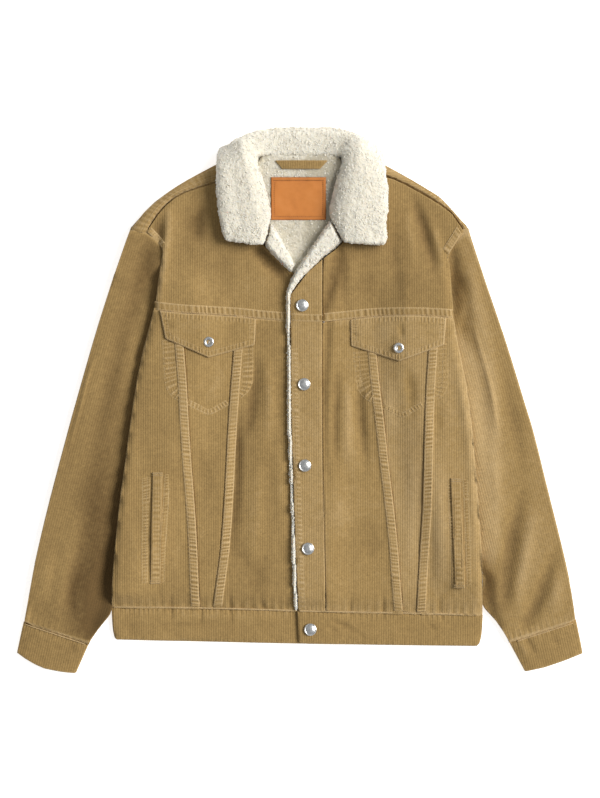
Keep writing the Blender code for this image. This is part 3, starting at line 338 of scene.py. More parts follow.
def finish_mesh(name, points, faces, materials, slots, uv, wear_and_shading):
    """A mesh object from points in millimetres, smooth, with the cloth's own map and its wear."""
    mesh = bpy.data.meshes.new(name)
    mesh.from_pydata((np.asarray(points) * 0.001).tolist(), [], faces)
    for material in materials:
        mesh.materials.append(material)
    mesh.polygons.foreach_set("material_index", np.asarray(slots, dtype=np.int32))
    mesh.polygons.foreach_set("use_smooth", np.ones(len(faces), dtype=bool))
    loops = np.empty(len(mesh.loops), dtype=np.int32)
    mesh.loops.foreach_get("vertex_index", loops)
    layer = mesh.uv_layers.new(name="cloth")
    layer.data.foreach_set("uv", np.asarray(uv, dtype=np.float32)[loops].ravel())
    # this attribute holds the cloth's wear together with painted shade and painted highlights
    mesh.attributes.new("wear_and_shading", "FLOAT", "POINT").data.foreach_set("value", np.asarray(wear_and_shading, np.float32))
    mesh.set_sharp_from_angle(angle=SHARP_ANGLE)
    mesh.update()
    piece = bpy.data.objects.new(name, mesh)
    scene.collection.objects.link(piece)
    return piece


def wall(name, panel, outer, inner, wear_and_shading, materials, down=False, coarse=(18, 4)):
    """A closed wall of cloth: a fine outer face, its edges, and a plain inner face.

    coarse is how many columns and rows of the outer face each inner one covers.
    """
    nu, nv = panel.u.shape
    index = np.arange(nu * nv).reshape(nu, nv)
    rim = [(i, 0) for i in range(nu)] + [(nu - 1, j) for j in range(1, nv)]
    rim += [(i, nv - 1) for i in range(nu - 2, -1, -1)] + [(0, j) for j in range(nv - 2, 0, -1)]
    keep_u = sorted(set(range(0, nu, coarse[0])) | {nu - 1})
    keep_v = sorted(set(range(0, nv, coarse[1])) | {nv - 1})
    kept = dict.fromkeys(rim)
    kept.update(dict.fromkeys((i, j) for i in keep_u for j in keep_v))
    back = {place: nu * nv + k for k, place in enumerate(kept)}
    quads = np.stack([index[:-1, :-1], index[1:, :-1], index[1:, 1:], index[:-1, 1:]], axis=-1)
    faces = quads.reshape(-1, 4).tolist()
    slots = [0] * len(faces)
    for a, b in zip(rim, rim[1:] + rim[:1]):
        faces.append([back[a], back[b], int(index[b]), int(index[a])])
        slots.append(0)
    for i0, i1 in zip(keep_u, keep_u[1:]):
        for j0, j1 in zip(keep_v, keep_v[1:]):
            ring = [(i0, j) for j in (range(j0, j1) if i0 == 0 else (j0,))]
            ring += [(i, j1) for i in (range(i0, i1) if j1 == nv - 1 else (i0,))]
            ring += [(i1, j) for j in (range(j1, j0, -1) if i1 == nu - 1 else (j1,))]
            ring += [(i, j0) for i in (range(i1, i0, -1) if j0 == 0 else (i1,))]
            faces.append([back[place] for place in ring])
            slots.append(len(materials) - 1)
    if down:
        faces = [face[::-1] for face in faces]
    where = tuple(np.array(list(kept)).T)
    fine = np.stack([panel.x, panel.y, outer], axis=-1).reshape(-1, 3)
    plain = np.stack([panel.x[where], panel.y[where], inner[where]], axis=-1)
    uv = np.stack([panel.u / RIB, panel.v / RIB], axis=-1)
    uv = np.concatenate([uv.reshape(-1, 2), uv[where]])
    wear_and_shading = np.broadcast_to(wear_and_shading, panel.u.shape)
    wear_and_shading = np.concatenate([wear_and_shading.ravel(), wear_and_shading[where]])
    return finish_mesh(name + "_cloth", np.concatenate([fine, plain]), faces, materials, slots, uv, wear_and_shading)


SPECULAR = 0.25
SHEEN_ROUGHNESS = 0.55


def cloth_nodes(name, roughness, sheen, sheen_tint):
    """A material with its tree and its shader, all even values set on the shader."""
    material = bpy.data.materials.new(name)
    material.use_nodes = True
    tree = material.node_tree
    shader = tree.nodes["Principled BSDF"]
    shader.inputs["Roughness"].default_value = roughness
    shader.inputs["Specular IOR Level"].default_value = SPECULAR
    shader.inputs["Sheen Weight"].default_value = sheen
    shader.inputs["Sheen Roughness"].default_value = SHEEN_ROUGHNESS
    shader.inputs["Sheen Tint"].default_value = (*sheen_tint, 1)
    return material, tree, shader


def node(tree, kind, values=(), **settings):
    """A node with its settings, and its inputs set or linked."""
    made = tree.nodes.new(kind)
    for key, value in settings.items():
        setattr(made, key, value)
    for key, value in dict(values).items():
        if isinstance(value, bpy.types.NodeSocket):
            tree.links.new(value, made.inputs[key])
        else:
            made.inputs[key].default_value = value
    return made


def math_node(tree, operation, a, b=0.0):
    return node(tree, "ShaderNodeMath", {0: a, 1: b}, operation=operation).outputs[0]


def mixed(tree, mode, factor, a, b):
    """The colour socket of a mix of a and b."""
    values = {0: factor, 6: a, 7: b}
    return node(tree, "ShaderNodeMix", values, data_type="RGBA", blend_type=mode).outputs[2]


def cloud(tree, scale, detail, **more):
    """A noise through the object's own space."""
    place = node(tree, "ShaderNodeTexCoord").outputs["Object"]
    values = {"Vector": place, "Scale": scale, "Detail": detail, **more}
    return node(tree, "ShaderNodeTexNoise", values).outputs["Fac"]


def worn_and_shaded_tone(tree, *clouds):
    """How worn the cloth is, with the shade and highlights painted into it, and each cloud's swing about its
    middle by its amount.
    """
    tone = node(tree, "ShaderNodeAttribute", attribute_name="wear_and_shading").outputs["Fac"]
    for fog, amount in clouds:
        swing = math_node(tree, "MULTIPLY", math_node(tree, "SUBTRACT", fog, 0.5), amount)
        tone = math_node(tree, "ADD", tone, swing)
    return tone


def toned(tree, factor, dark, middle, light):
    """The colour socket of a ramp through three colours."""
    ramp = node(tree, "ShaderNodeValToRGB", {"Fac": factor})
    ramp.color_ramp.elements[0].color = (*dark, 1)
    ramp.color_ramp.elements[1].color = (*light, 1)
    ramp.color_ramp.elements.new(0.5).color = (*middle, 1)
    return ramp.outputs["Color"]


def surfaced(tree, shader, colour, height, strength, distance):
    """Links the colour, and a bump of the given strength and depth."""
    tree.links.new(colour, shader.inputs["Base Color"])
    bump = node(tree, "ShaderNodeBump", {"Height": height, "Strength": strength, "Distance": distance})
    tree.links.new(bump.outputs[0], shader.inputs["Normal"])


TAN = (0.342, 0.222, 0.082)
TAN_DARK = (0.130, 0.076, 0.024)
TAN_LIGHT = (0.520, 0.370, 0.185)
GROOVE_SHADE = (0.42, 0.34, 0.26, 1)
GROOVE_DEPTH = 0.30


def corduroy_material():
    """Washed tan corduroy: paler where it is worn and where highlights are painted, darker where shade is
    painted, in its grooves too, with a soft nap.
    """
    material, tree, shader = cloth_nodes("corduroy", 0.88, 0.12, (0.95, 0.86, 0.70))
    tone = worn_and_shaded_tone(tree, (cloud(tree, 17.0, 3.0), 0.22), (cloud(tree, 140.0, 3.0), 0.30))
    colour = toned(tree, tone, TAN_DARK, TAN, TAN_LIGHT)
    cord = node(tree, "ShaderNodeUVMap", uv_map="cloth").outputs["UV"]
    across = node(tree, "ShaderNodeSeparateXYZ", {"Vector": cord}).outputs["X"]
    groove = math_node(tree, "SUBTRACT", math_node(tree, "FRACT", across), 0.5)
    groove = math_node(tree, "MULTIPLY", math_node(tree, "ABSOLUTE", groove), 2.0)
    groove = math_node(tree, "MULTIPLY", math_node(tree, "POWER", groove, 3.0), GROOVE_DEPTH)
    colour = mixed(tree, "MULTIPLY", groove, colour, GROOVE_SHADE)
    lain = node(tree, "ShaderNodeMapping", {"Vector": cord, "Scale": (5.0, 1.6, 1.0)}).outputs[0]
    nap = node(tree, "ShaderNodeTexNoise", {"Vector": lain, "Scale": 1.0, "Detail": 4.0}).outputs["Fac"]
    brushed = math_node(tree, "MULTIPLY", math_node(tree, "ADD", nap, cloud(tree, 420.0, 3.0)), 0.5)
    speck = node(tree, "ShaderNodeMapRange", {
        "Value": brushed, "From Min": 0.36, "From Max": 0.64, "To Min": 0.82, "To Max": 1.17}).outputs[0]
    grey = node(tree, "ShaderNodeCombineXYZ", {0: speck, 1: speck, 2: speck}).outputs[0]
    surfaced(tree, shader, mixed(tree, "MULTIPLY", 1.0, colour, grey), nap, 0.35, 0.0006)
    return material


def sherpa_material():
    """Cream polyester pile, with painted shade darker and warmer down between its curls."""
    material, tree, shader = cloth_nodes("sherpa", 0.95, 0.25, (1.0, 0.98, 0.92))
    shader.inputs["Subsurface Weight"].default_value = 0.6
    shader.inputs["Subsurface Radius"].default_value = (1.0, 0.9, 0.75)
    shader.inputs["Subsurface Scale"].default_value = 0.006
    curl = cloud(tree, 330.0, 3.0, Roughness=0.6)
    tone = worn_and_shaded_tone(tree, (curl, 0.9), (cloud(tree, 40.0, 2.0), 0.2))
    colour = toned(tree, tone, (0.52, 0.475, 0.37), (0.76, 0.715, 0.60), (0.87, 0.83, 0.725))
    surfaced(tree, shader, colour, curl, 0.8, 0.0019)
    return material


corduroy = corduroy_material()
sherpa = sherpa_material()


def sewn(piece, node_name):
    """The piece rides on the jacket and stands for its solid."""
    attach(piece, "root")
    if node_name:
        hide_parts(node_name)


BACK_ROWS, BACK_STEPS = 16.0, 3  # few faces, since little of the back is ever seen
UNDER_DROP = 0.8
PLAIN_TONE = 0.5


def underside(panel, roll=EDGE_ROLL, drop=UNDER_DROP):
    """The height of the ribbed outside of a panel that lies on its face."""
    grooves = (1 - ribs(panel.u)) * RIB_HEIGHT * np.clip(panel.edge / 2, 0, 1)
    return panel.form.bottom(panel.x, panel.y) + grooves + rolled(panel.edge, roll, drop)


def lay_down(name, panel, outside, inside, materials, coarse=(18, 4)):
    """A piece that lies with its outside on the table."""
    piece = wall(name, panel, outside, inside, PLAIN_TONE, materials, down=True, coarse=coarse)
    sewn(piece, name)


for part, inner in (("back_panel", sherpa), ("back_yoke", corduroy)):
    panel = Panel(Form(part), rows=BACK_ROWS, steps=BACK_STEPS, bitten=True)
    inside = panel.form.top(panel.x, panel.y) - rolled(panel.edge)
    lay_down(part, panel, underside(panel), inside, (corduroy, inner), coarse=(18, 1))

# ---------------------------------------------------------------------------
# The fronts below the yokes
# Six corduroy panels, lined with sherpa: a side, a gore and a centre panel on
# each half, cut so that their seams run down in a V. The lining and the sleeves
# tucked underneath push them up into soft folds.
# ---------------------------------------------------------------------------
FRONT_FOLDS = (
    # each fold: the points along its crest or trough as x, y, height and half width
    ((-56, 66, 0, 7), (-60, 25, -3.0, 8), (-63, -5, -3.4, 8), (-68, -32, -2.2, 8), (-76, -50, 0, 8)),
    ((-44, 56, 0, 7), (-41, 10, 2.0, 8), (-42, -30, 1.6, 8), (-46, -70, 0, 8)),
    ((-28, -40, 0, 7), (-27, -90, 1.2, 8), (-26, -140, 1.0, 8), (-28, -190, 0, 8)),
    ((-84, -16, 0, 7), (-84, -60, -3.6, 7), (-86, -120, -3.6, 8), (-90, -170, -3.0, 9),
     (-100, -215, 0, 9)),
    ((-58, -80, 0, 12), (-58, -130, 1.6, 14), (-62, -190, 1.2, 12), (-66, -230, 0, 12)),
    ((-46, -200, 0, 10), (-56, -240, -1.8, 11), (-60, -268, 0, 10)),
    ((-92, -190, 0, 10), (-76, -214, -1.2, 10), (-58, -226, 0, 10)),
    ((41, 190, 0, 6), (40, 130, -2.4, 6), (36, 60, -2.8, 6), (34, 0, -2.4, 6), (35, -60, -1.8, 6),
     (38, -110, -0.8, 6), (40, -150, 0, 5)),
    ((50, 50, 0, 6), (50, 10, -2.8, 6), (48, -50, -3.0, 6), (50, -95, 0, 6)),
    ((64, 40, 0, 6), (65, 0, 1.8, 6), (65, -60, 1.6, 6), (68, -100, 0, 6)),
    ((80, 45, 0, 6), (82, 10, -3.0, 7), (84, -40, -3.4, 7), (90, -100, 0, 7)),
    ((122, 40, 0, 8), (120, 0, 1.8, 10), (122, -30, 1.4, 10), (126, -60, 0, 8)),
    ((146, 44, 0, 7), (150, 20, -2.4, 8), (152, -10, -1.8, 7), (150, -30, 0, 7)),
    ((62, -160, 0, 18), (90, -190, -1.6, 20), (80, -220, 0, 16)),
    ((60, -190, 0, 12), (52, -150, 1.2, 12), (60, -120, 0, 12)),
    ((148, -60, 0, 9), (152, -110, 1.6, 10), (150, -190, 1.4, 10), (150, -240, 0, 9)),
    ((178, 20, 0, 8), (186, -20, -1.8, 9), (184, -60, 0, 8)),
    ((182, -80, 0, 9), (188, -120, 1.8, 10), (190, -220, 1.8, 10), (186, -262, 0, 9)),
    ((-170, -20, 0, 10), (-174, -60, 0.9, 12), (-172, -95, 0, 10)),
    ((-205, 60, 0, 9), (-212, 10, -1.2, 9), (-216, -50, -1.0, 9), (-220, -80, 0, 9)),
    ((210, 70, 0, 8), (222, 0, 1.8, 8), (232, -60, 1.6, 8), (236, -140, 1.4, 8), (240, -220, 0, 8)),
    ((-100, 50, 0, 9), (-112, 20, 1.2, 9), (-128, -10, 0, 9)),
    ((-140, -60, 0, 9), (-128, -100, -1.0, 10), (-120, -150, 0, 9)),
    ((-196, -30, 0, 8), (-176, -48, -0.9, 8), (-158, -54, 0, 8)),
    ((-230, -150, 0, 8), (-222, -200, 1.2, 9), (-226, -250, 0, 8)),
    ((-173, -258, 0, 3), (-173, -272, -1.3, 3), (-173, -284, -1.5, 3)),
    ((-133, -262, 0, 3), (-134, -274, -1.0, 3), (-134, -284, -1.2, 3)),
    ((-93, -252, 0, 3.5), (-94, -270, -1.4, 3), (-94, -284, -1.6, 3)),
    ((-58, -262, 0, 4), (-50, -276, -1.4, 4), (-44, -286, -1.4, 4)),
    ((70, -262, 0, 3), (69, -276, -1.1, 3), (69, -288, -1.2, 3)),
    ((112, -258, 0, 3.5), (113, -274, -1.2, 3), (113, -288, -1.2, 3)),
    ((188, -260, 0, 4), (190, -276, -1.3, 4), (191, -288, -1.4, 4)),
)
def smooth_path(table, count):
    """The rows of a table blended into count points along a curve through them."""
    rows = np.array(table, dtype=float)
    rows = np.concatenate([2 * rows[:1] - rows[1:2], rows, 2 * rows[-1:] - rows[-2:-1]])
    at = np.linspace(0, len(rows) - 3, count)
    k = np.minimum(at.astype(int), len(rows) - 4)
    t = (at - k)[:, None]
    a, b, c, d = rows[k], rows[k + 1], rows[k + 2], rows[k + 3]
    return b + 0.5 * t * (c - a + t * (2 * a - 5 * b + 4 * c - d + t * (3 * (b - c) + d - a)))


def folds(x, y, table):
    """The height in millimetres that the folds of the table add at x, y."""
    total = np.zeros(x.shape)
    for fold in table:
        path = smooth_path(fold, 4 * len(fold))
        reach = 3 * path[:, 3].max()
        near = ((x > path[:, 0].min() - reach) & (x < path[:, 0].max() + reach)
                & (y > path[:, 1].min() - reach) & (y < path[:, 1].max() + reach))
        px, py = x[near], y[near]
        best = np.full(px.shape, FAR)
        height, width = np.zeros(px.shape), np.ones(px.shape)
        for a, b in zip(path, path[1:]):
            dx, dy = b[0] - a[0], b[1] - a[1]
            t = np.clip(((px - a[0]) * dx + (py - a[1]) * dy) / max(dx * dx + dy * dy, 1e-9), 0, 1)
            gap = np.hypot(px - a[0] - t * dx, py - a[1] - t * dy)
            closer = gap < best
            best = np.where(closer, gap, best)
            height = np.where(closer, a[2] + t * (b[2] - a[2]), height)
            width = np.where(closer, a[3] + t * (b[3] - a[3]), width)
        total[near] += height * np.exp(-(best / width) ** 2)
    return total


RUNG_SHIFT, RUNG_SHIFT_RUN = 0.45, 2.3  # in periods, how far the puckers stray and over what run
RUNG_EVEN, RUNG_UNEVEN, RUNG_UNEVEN_RUN = 0.62, 0.38, 3.1


def rungs(along, period, seed):
    """Uneven puckers between two rows of stitches, from -1 to 1."""
    flat = np.zeros_like(along)
    phase = along / period + RUNG_SHIFT * noise(along, flat, RUNG_SHIFT_RUN * period, seed)
    strength = RUNG_EVEN + RUNG_UNEVEN * noise(along, flat, RUNG_UNEVEN_RUN * period, seed + 1)
    return np.cos(2 * math.pi * phase) * strength


def nap_height(x, y):
    """Slight hollows all over a washed, lined cloth."""
    return 0.60 * noise(x, y, 46, 11) + 0.30 * noise(x, y, 19, 12)


surfaces = {}  # how high the cloth of each piece lies, for what is sewn on it


def shaded(panel, side, near, far, amount):
    """Darker and darker, by amount, from near mm to far mm in from one side; on the right sleeve this is
    painted shade from the body beside it.
    """
    t = np.clip((getattr(panel, side) - near) / (far - near), 0, 1)
    return amount * t * t * (3 - 2 * t)


FRONT_ROWS = 5.0
FOLD_TONE, DEEPEST, HIGHEST = 0.08, -3.5, 3  # painted highlight on a crest and painted shade in a trough, within these heights
PUCKER_TONE, BORDER_TONE = (0.14, 0.08), (0.24, 0.05)  # of each pucker, and of them all
RIB_END, RIB_LEAST = 1.6, 0.15  # the ribs are pressed flatter this close to an edge
RIM_RUN = 2.4
CLOTH_LEAST = 0.8  # no wall is thinner


def dress(name, grain=Grain(), table=(), rows=FRONT_ROWS, pucker=(), border=None, drop=EDGE_DROP,
          wear_and_shading=0.5, inner=sherpa, roll=EDGE_ROLL, laid_on=None, fitted=None, tucked=(0.0, 0.0),
          step=FORM_STEP, slack=1.0, bitten=False, shade=None, worn_and_lit_rim=0.16):
    """One corduroy panel on its solid's form, with its folds and the puckers of its sewn ends."""
    form = Form(name, step=step)
    panel = Panel(form, grain, rows=rows, bitten=bitten)
    laid_on = laid_on or form
    if fitted:
        fitted(panel)
    panel.v[:, 0] -= tucked[0]
    panel.v[:, -1] += tucked[1]
    panel.x, panel.y = grain.place(panel.u, panel.v)

    def surface(x, y):
        return laid_on.top(x, y) + folds(x, y, table) + slack * nap_height(x, y)

    surfaces[name] = surface
    x, y = panel.x, panel.y
    outer = surface(x, y)
    # each fold gets painted shade in its trough and a painted highlight on its crest
    tone = wear_and_shading + FOLD_TONE * np.clip(folds(x, y, table), DEEPEST, HIGHEST)
    if shade:
        tone = tone + shaded(panel, *shade)
    for side, height, period, reach, seed in pucker:
        away = getattr(panel, side)
        fade = np.clip(1 - away / reach, 0, 1) ** 1.5 * np.clip(away / 1.5, 0, 1)
        ripple = rungs(panel.u, period, seed) * fade
        outer = outer + height * ripple
        tone = tone + PUCKER_TONE[0] * ripple + PUCKER_TONE[1] * fade
    if border:
        inward, outward, height, period, seed = border
        beside = np.minimum(panel.left, panel.right) < np.minimum(panel.low, panel.high)
        fade = np.clip((panel.edge - inward) / 1.5, 0, 1) * np.clip((outward - panel.edge) / 2.5, 0, 1)
        ripple = rungs(np.where(beside, panel.v, panel.u), period, seed) * fade
        outer = outer + height * ripple
        tone = tone + BORDER_TONE[0] * ripple + BORDER_TONE[1] * fade
    outer += RIB_HEIGHT * (ribs(panel.u) - 1) * np.clip(panel.edge / RIB_END, RIB_LEAST, 1)
    outer -= rolled(panel.edge, roll, drop)
    # paler along the cut edges: partly wear on the rolled edges, partly a painted highlight where the rims
    # catch the light
    tone = tone + worn_and_lit_rim * np.clip(1 - panel.edge / RIM_RUN, 0, 1)
    inside = np.minimum(form.bottom(x, y), outer - CLOTH_LEAST)
    piece = wall(name, panel, outer, inside, tone, (corduroy, inner), coarse=(18, 1 if bitten else 4))
    sewn(piece, name)
    return panel


# each pucker: its side, height, period, how far in it reaches, and its seed
WAIST_PUCKER = (("low", 0.6, 12.0, 22.0, 31), ("high", 0.4, 8.0, 12.0, 32))
FRONT_WEAR = {"front_side_right": 0.46, "front_gore_right": 0.46, "front_centre_right": 0.61,
              "front_centre_left": 0.50, "front_gore_left": 0.62, "front_side_left": 0.58}
FRONT_SHADE = {"front_centre_right": ("right", 8, 34, -0.18)}  # darker further in from the opening
for part, wear_and_shading in FRONT_WEAR.items():
    dress(part, table=FRONT_FOLDS, pucker=WAIST_PUCKER, tucked=(2.5, 3.0), wear_and_shading=wear_and_shading,
          shade=FRONT_SHADE.get(part))

# ---------------------------------------------------------------------------
# The front yokes
# One corduroy panel on each half from the shoulder seam down to the yoke seam,
# lined with sherpa, and felled over the panels below with two rows of stitches.
# ---------------------------------------------------------------------------
YOKE_FOLDS = (
    ((-176, 268, 0, 6), (-178, 240, 2.4, 6), (-182, 200, 2.6, 6), (-188, 150, 2.0, 6), (-192, 120, 0, 6)),
    ((-190, 250, 0, 8), (-190, 226, -4.4, 8), (-194, 204, -3.2, 7), (-197, 186, 0, 6)),
    ((-158, 262, 0, 8), (-152, 240, -1.6, 9), (-152, 210, -1.0, 9), (-150, 180, 0, 9)),
    # this trough's painted shade stands for the right collar wing's shadow on the yoke
    ((-128, 268, 0, 7), (-138, 236, -4.6, 10), (-134, 208, 0, 8)),
    ((-100, 205, 0, 12), (-104, 180, -1.4, 14), (-92, 150, 0, 12)),
    # this trough's painted shade stands for the shadow beside the V's edge
    ((-70, 216, 0, 6), (-52, 197, -6.0, 8), (-32, 177, -6.0, 8), (-14, 156, 0, 5)),
    ((130, 262, 0, 9), (128, 210, -1.6, 9), (132, 160, -1.4, 9), (138, 125, 0, 8)),
    ((146, 268, 0, 7), (147, 236, 1.6, 7), (152, 205, 1.4, 7), (156, 170, 0, 6)),
    ((156, 270, -1, 7), (160, 254, -3.2, 7), (166, 238, -3.8, 7), (174, 206, -3.6, 7), (185, 165, 0, 6)),
    ((174, 246, 0, 6), (183, 222, 2.0, 6), (190, 196, 1.8, 6), (194, 160, 0, 6)),
    ((56, 222, 0, 7), (53, 200, -4.4, 7), (45, 160, -4.0, 8), (33, 120, -2.8, 7), (29, 106, 0, 6)),
    # this trough's painted shade stands for the narrow shadow down the yoke below the left wing
    ((62, 204, 0, 6), (60, 188, -2.4, 7), (59, 160, -2.2, 7), (60, 132, -1.2, 7), (61, 114, 0, 6)),
    # this trough's painted shade stands for the broad shade under the left collar wing's lower edge
    ((60, 208, 0, 10), (76, 204, -1.8, 14), (96, 204, -1.6, 14), (110, 208, 0, 10)),
    ((-132, 170, 0, 20), (-128, 150, 0.8, 20), (-120, 130, 0, 18)),
    ((92, 190, 0, 14), (88, 160, -1.4, 16), (80, 124, 0, 12)),
)
for part, wear_and_shading in (("front_yoke_right", 0.46), ("front_yoke_left", 0.44)):
    dress(part, table=YOKE_FOLDS, wear_and_shading=wear_and_shading, pucker=(("low", 0.3, 8.0, 14.0, 33),), bitten=True)

# ---------------------------------------------------------------------------
# The waistband
# A band of corduroy round the hem, folded double, sewn to the body with a row
# of stitches above and below. The left half laps over the right and carries
# the last button.
# ---------------------------------------------------------------------------
BAND_FOLDS = (
    ((35, -292, 0, 3.5), (52, -301, -1.6, 3.5), (72, -311, -1.4, 3.5), (92, -324, 0, 3.5)),
    ((30, -300, 0, 3), (44, -309, -1.0, 3), (58, -318, 0, 3)),
    ((168, -297, 0, 3), (178, -306, -1.0, 3), (190, -319, 0, 3)),
    ((-228, -295, 0, 2.5), (-195, -300, 0.8, 2.5), (-140, -298, 0, 2.5)),
    ((-236, -296, 0, 6), (-228, -310, -1.0, 6), (-224, -322, 0, 6)),
    ((-214, -291, 0.6, 6), (-150, -291, 0.9, 6), (-90, -292, 0.9, 6), (-40, -294, 0.5, 6)),
    ((-173, -281, -1.6, 3), (-173, -294, -1.0, 3), (-174, -304, 0, 3)),
    ((-134, -281, -1.3, 3), (-133, -295, -1.0, 3), (-134, -306, 0, 3)),
    ((-94, -282, -1.6, 3), (-92, -294, -1.0, 3), (-96, -308, 0, 3)),
    ((-212, -298, 0, 3), (-170, -304, -0.9, 3), (-120, -303, -0.7, 3), (-80, -308, 0, 3)),
    ((69, -286, -1.4, 3), (70, -298, 0, 3)),
    ((113, -287, -1.4, 3), (112, -300, 0, 3)),
    ((191, -287, -1.4, 3), (196, -304, 0, 4)),
)
panel = Panel(Form("waistband_back"), rows=BACK_ROWS, steps=BACK_STEPS)
inside = panel.form.top(panel.x, panel.y) - rolled(panel.edge)
lay_down("waistband_back", panel, underside(panel), inside, (corduroy,))
BAND_PUCKER = (("high", 0.5, 6.5, 15.0, 41), ("low", 0.25, 7.0, 9.0, 42))
corded_ends = {}  # the panels whose upper end gets a cord of stitches
for part in ("waistband_right", "waistband_left"):
    corded_ends[part] = dress(part, table=BAND_FOLDS, rows=3.0, inner=corduroy, pucker=BAND_PUCKER,
                              worn_and_lit_rim=0.0, wear_and_shading=0.44, roll=3.4, drop=2.4)

# ---------------------------------------------------------------------------
# The sleeves
# Each is a tube laid flat, a top and an under panel of corduroy, sewn
# together down the outer edge. The ribs run down the arm. The inner edge is
# tucked under the body, so the top falls away towards it.
# ---------------------------------------------------------------------------
SLEEVE_GRAIN = {"right": Grain(-15.5, (-262, 0), 0.00006), "left": Grain(15.5, (262, 0), -0.00006)}
SLEEVE_FOLDS = {
    "right": (
        # this trough's painted shade stands for the shade along the body's edge, deepest by the armhole
        ((-196, 222, 0, 12), (-206, 190, -3.4, 15), (-218, 140, -2.6, 16), (-236, 80, -1.8, 18),
         (-252, 20, -1.8, 19), (-266, -40, -1.8, 19), (-278, -100, -1.8, 20), (-290, -170, -1.6, 20),
         (-298, -230, -1.6, 18), (-304, -290, -1.0, 14)),
        ((-198, 168, 0, 12), (-203, 140, 2.5, 13), (-214, 100, 3.5, 14), (-226, 50, 3, 15),
         (-236, -10, 2, 16), (-246, -80, 1.5, 17), (-254, -140, 0, 16)),
        # this trough's painted shade stands for the body's shadow on the sleeve below the hem
        ((-250, -196, 0, 10), (-260, -232, -5, 13), (-267, -268, -6, 14), (-280, -304, -4, 11)),
        ((-250, 120, 0, 12), (-262, 70, 1.0, 12), (-278, 10, 1.0, 12), (-292, -50, 0, 11)),
        ((-286, 60, 0, 8), (-298, 0, -1.0, 8), (-310, -60, -1.0, 8), (-318, -110, 0, 8)),
        ((-296, -130, 0, 12), (-306, -180, 1.4, 12), (-320, -240, 1.2, 12), (-326, -280, 0, 12)),
        ((-300, -215, 0, 7), (-310, -262, -1.8, 8), (-306, -296, 0, 8)),
        ((-334, -190, 0, 9), (-342, -235, 1.6, 9), (-350, -280, 0, 9)),
        ((-272, 60, 0, 3), (-283, 42, 1.4, 3), (-295, -5, 1.6, 3), (-307, -50, 1.0, 3), (-313, -80, 0, 3)),
        ((-362, -270, 0, 3), (-367, -290, 1.2, 3), (-370, -302, 0.8, 3)),
    ),
    "left": (
        ((208, 215, 0, 7), (207, 192, -4.4, 8), (207, 165, -5.0, 8), (208, 130, -3.0, 8), (211, 100, 0, 7)),
        ((212, 95, 0, 12), (216, 75, 4.0, 14), (222, 45, 7.5, 16), (230, 0, 9.0, 16), (238, -70, 9.0, 16),
         (246, -140, 8.0, 16), (250, -200, 5.0, 14), (254, -240, 0, 12)),
        ((226, 205, 0, 8), (236, 150, 1.6, 9), (248, 90, 2.0, 10), (258, 30, 2.4, 10), (262, -40, 2.6, 11),
         (264, -110, 2.2, 11), (264, -170, 1.4, 10), (264, -230, 0, 9)),
        ((236, 100, 0, 4), (241, 80, 1.6, 4), (252, 40, 1.6, 4), (261, 0, 2.0, 4), (269, -54, 0, 4)),
        ((270, 60, 0, 8), (284, 0, -1.4, 9), (296, -60, -1.6, 10), (300, -110, 0, 9)),
        ((304, -110, 0, 9), (293, -160, -3.2, 10), (284, -210, -4.2, 10), (279, -262, -3.6, 9),
         (276, -290, 0, 8)),
        ((322, -140, 0, 9), (310, -185, 2.2, 9), (300, -235, 2.4, 9), (294, -278, 0, 9)),
        ((352, -190, 0, 9), (338, -228, -2.8, 9), (324, -266, -4.4, 9), (308, -300, -3.0, 8),
         (298, -312, 0, 8)),
        ((352, -230, 0, 9), (346, -262, 1.8, 9), (340, -290, 0, 9)),
        # this trough's painted shade stands for the body's shadow on the sleeve below the hem
        ((244, -205, 0, 9), (247, -238, -5, 12), (253, -276, -6, 13), (266, -308, -4, 10)),
    ),
}
INNER_EDGE = {
    # how far the inner edge runs on past the solid's, by how far up the arm: at the wrist
    # the cloth slips down out of the tuck, and at the top it goes on under the body
    "right": ((-325, 0), (-314, 2), (-300, 5.6), (-276, 13.5), (-258, 12), (-230, 7), (-195, 0),
              (40, 0), (100, 5)),
    "left": ((-325, 0), (-303, 2), (-286, 5), (-266, 12), (-250, 12), (-225, 7), (-190, 0),
             (40, 0), (100, 5)),
}
SLEEVE_WEAR_AND_SHADE = {"right": 0.38, "left": 0.53}  # painted shade: the right sleeve's nap lies the other way, and it is painted darker than the left
# painted shade on the right sleeve, darker towards the body that shadows it
SLEEVE_SHADE = {"right": ("left", 20, 90, -0.36)}
SLEEVE_PUCKER = (("low", 0.5, 8.0, 18.0, 51),)
TOP_INSET, UNDER_INSET = 0.2, 1.6  # the seam down the outer edge lies just underneath
OUTER_REACH, INNER_REACH = 70.0, 32.0  # how far in the cloth goes along with a moved edge
UNDER_DEPTH, UNDER_FOLD, UNDER_FOLD_RUN = 3.5, 6.0, 14
UNDER_LEAST = 0.6


def fit_sleeve(panel, side, sleeve, inset):
    """Moves the outer edge to that of the whole sleeve, less an inset, and lets out the inner one."""
    pu, pv = panel.grain.cloth(sleeve.points[:, 0], sleeve.points[:, 1])
    levels = levels_of(pv)
    left, right = spans(pv, pu, sleeve.faces, levels)
    if side == "right":
        outer, inner, way = panel.left, panel.right, 1
        shift = np.interp(panel.v, levels, left + inset) - (panel.u - outer)
    else:
        outer, inner, way = panel.right, panel.left, -1
        shift = np.interp(panel.v, levels, right - inset) - (panel.u + outer)
    width = panel.left + panel.right
    panel.u = panel.u + shift * np.clip(1 - outer / np.minimum(OUTER_REACH, width), 0, 1)
    push = np.interp(panel.v, *np.array(INNER_EDGE[side], dtype=float).T)
    push = push * np.clip(1 - inner / np.minimum(INNER_REACH, width), 0, 1)
    panel.u = panel.u + push * way
    panel.x, panel.y = panel.grain.place(panel.u, panel.v)


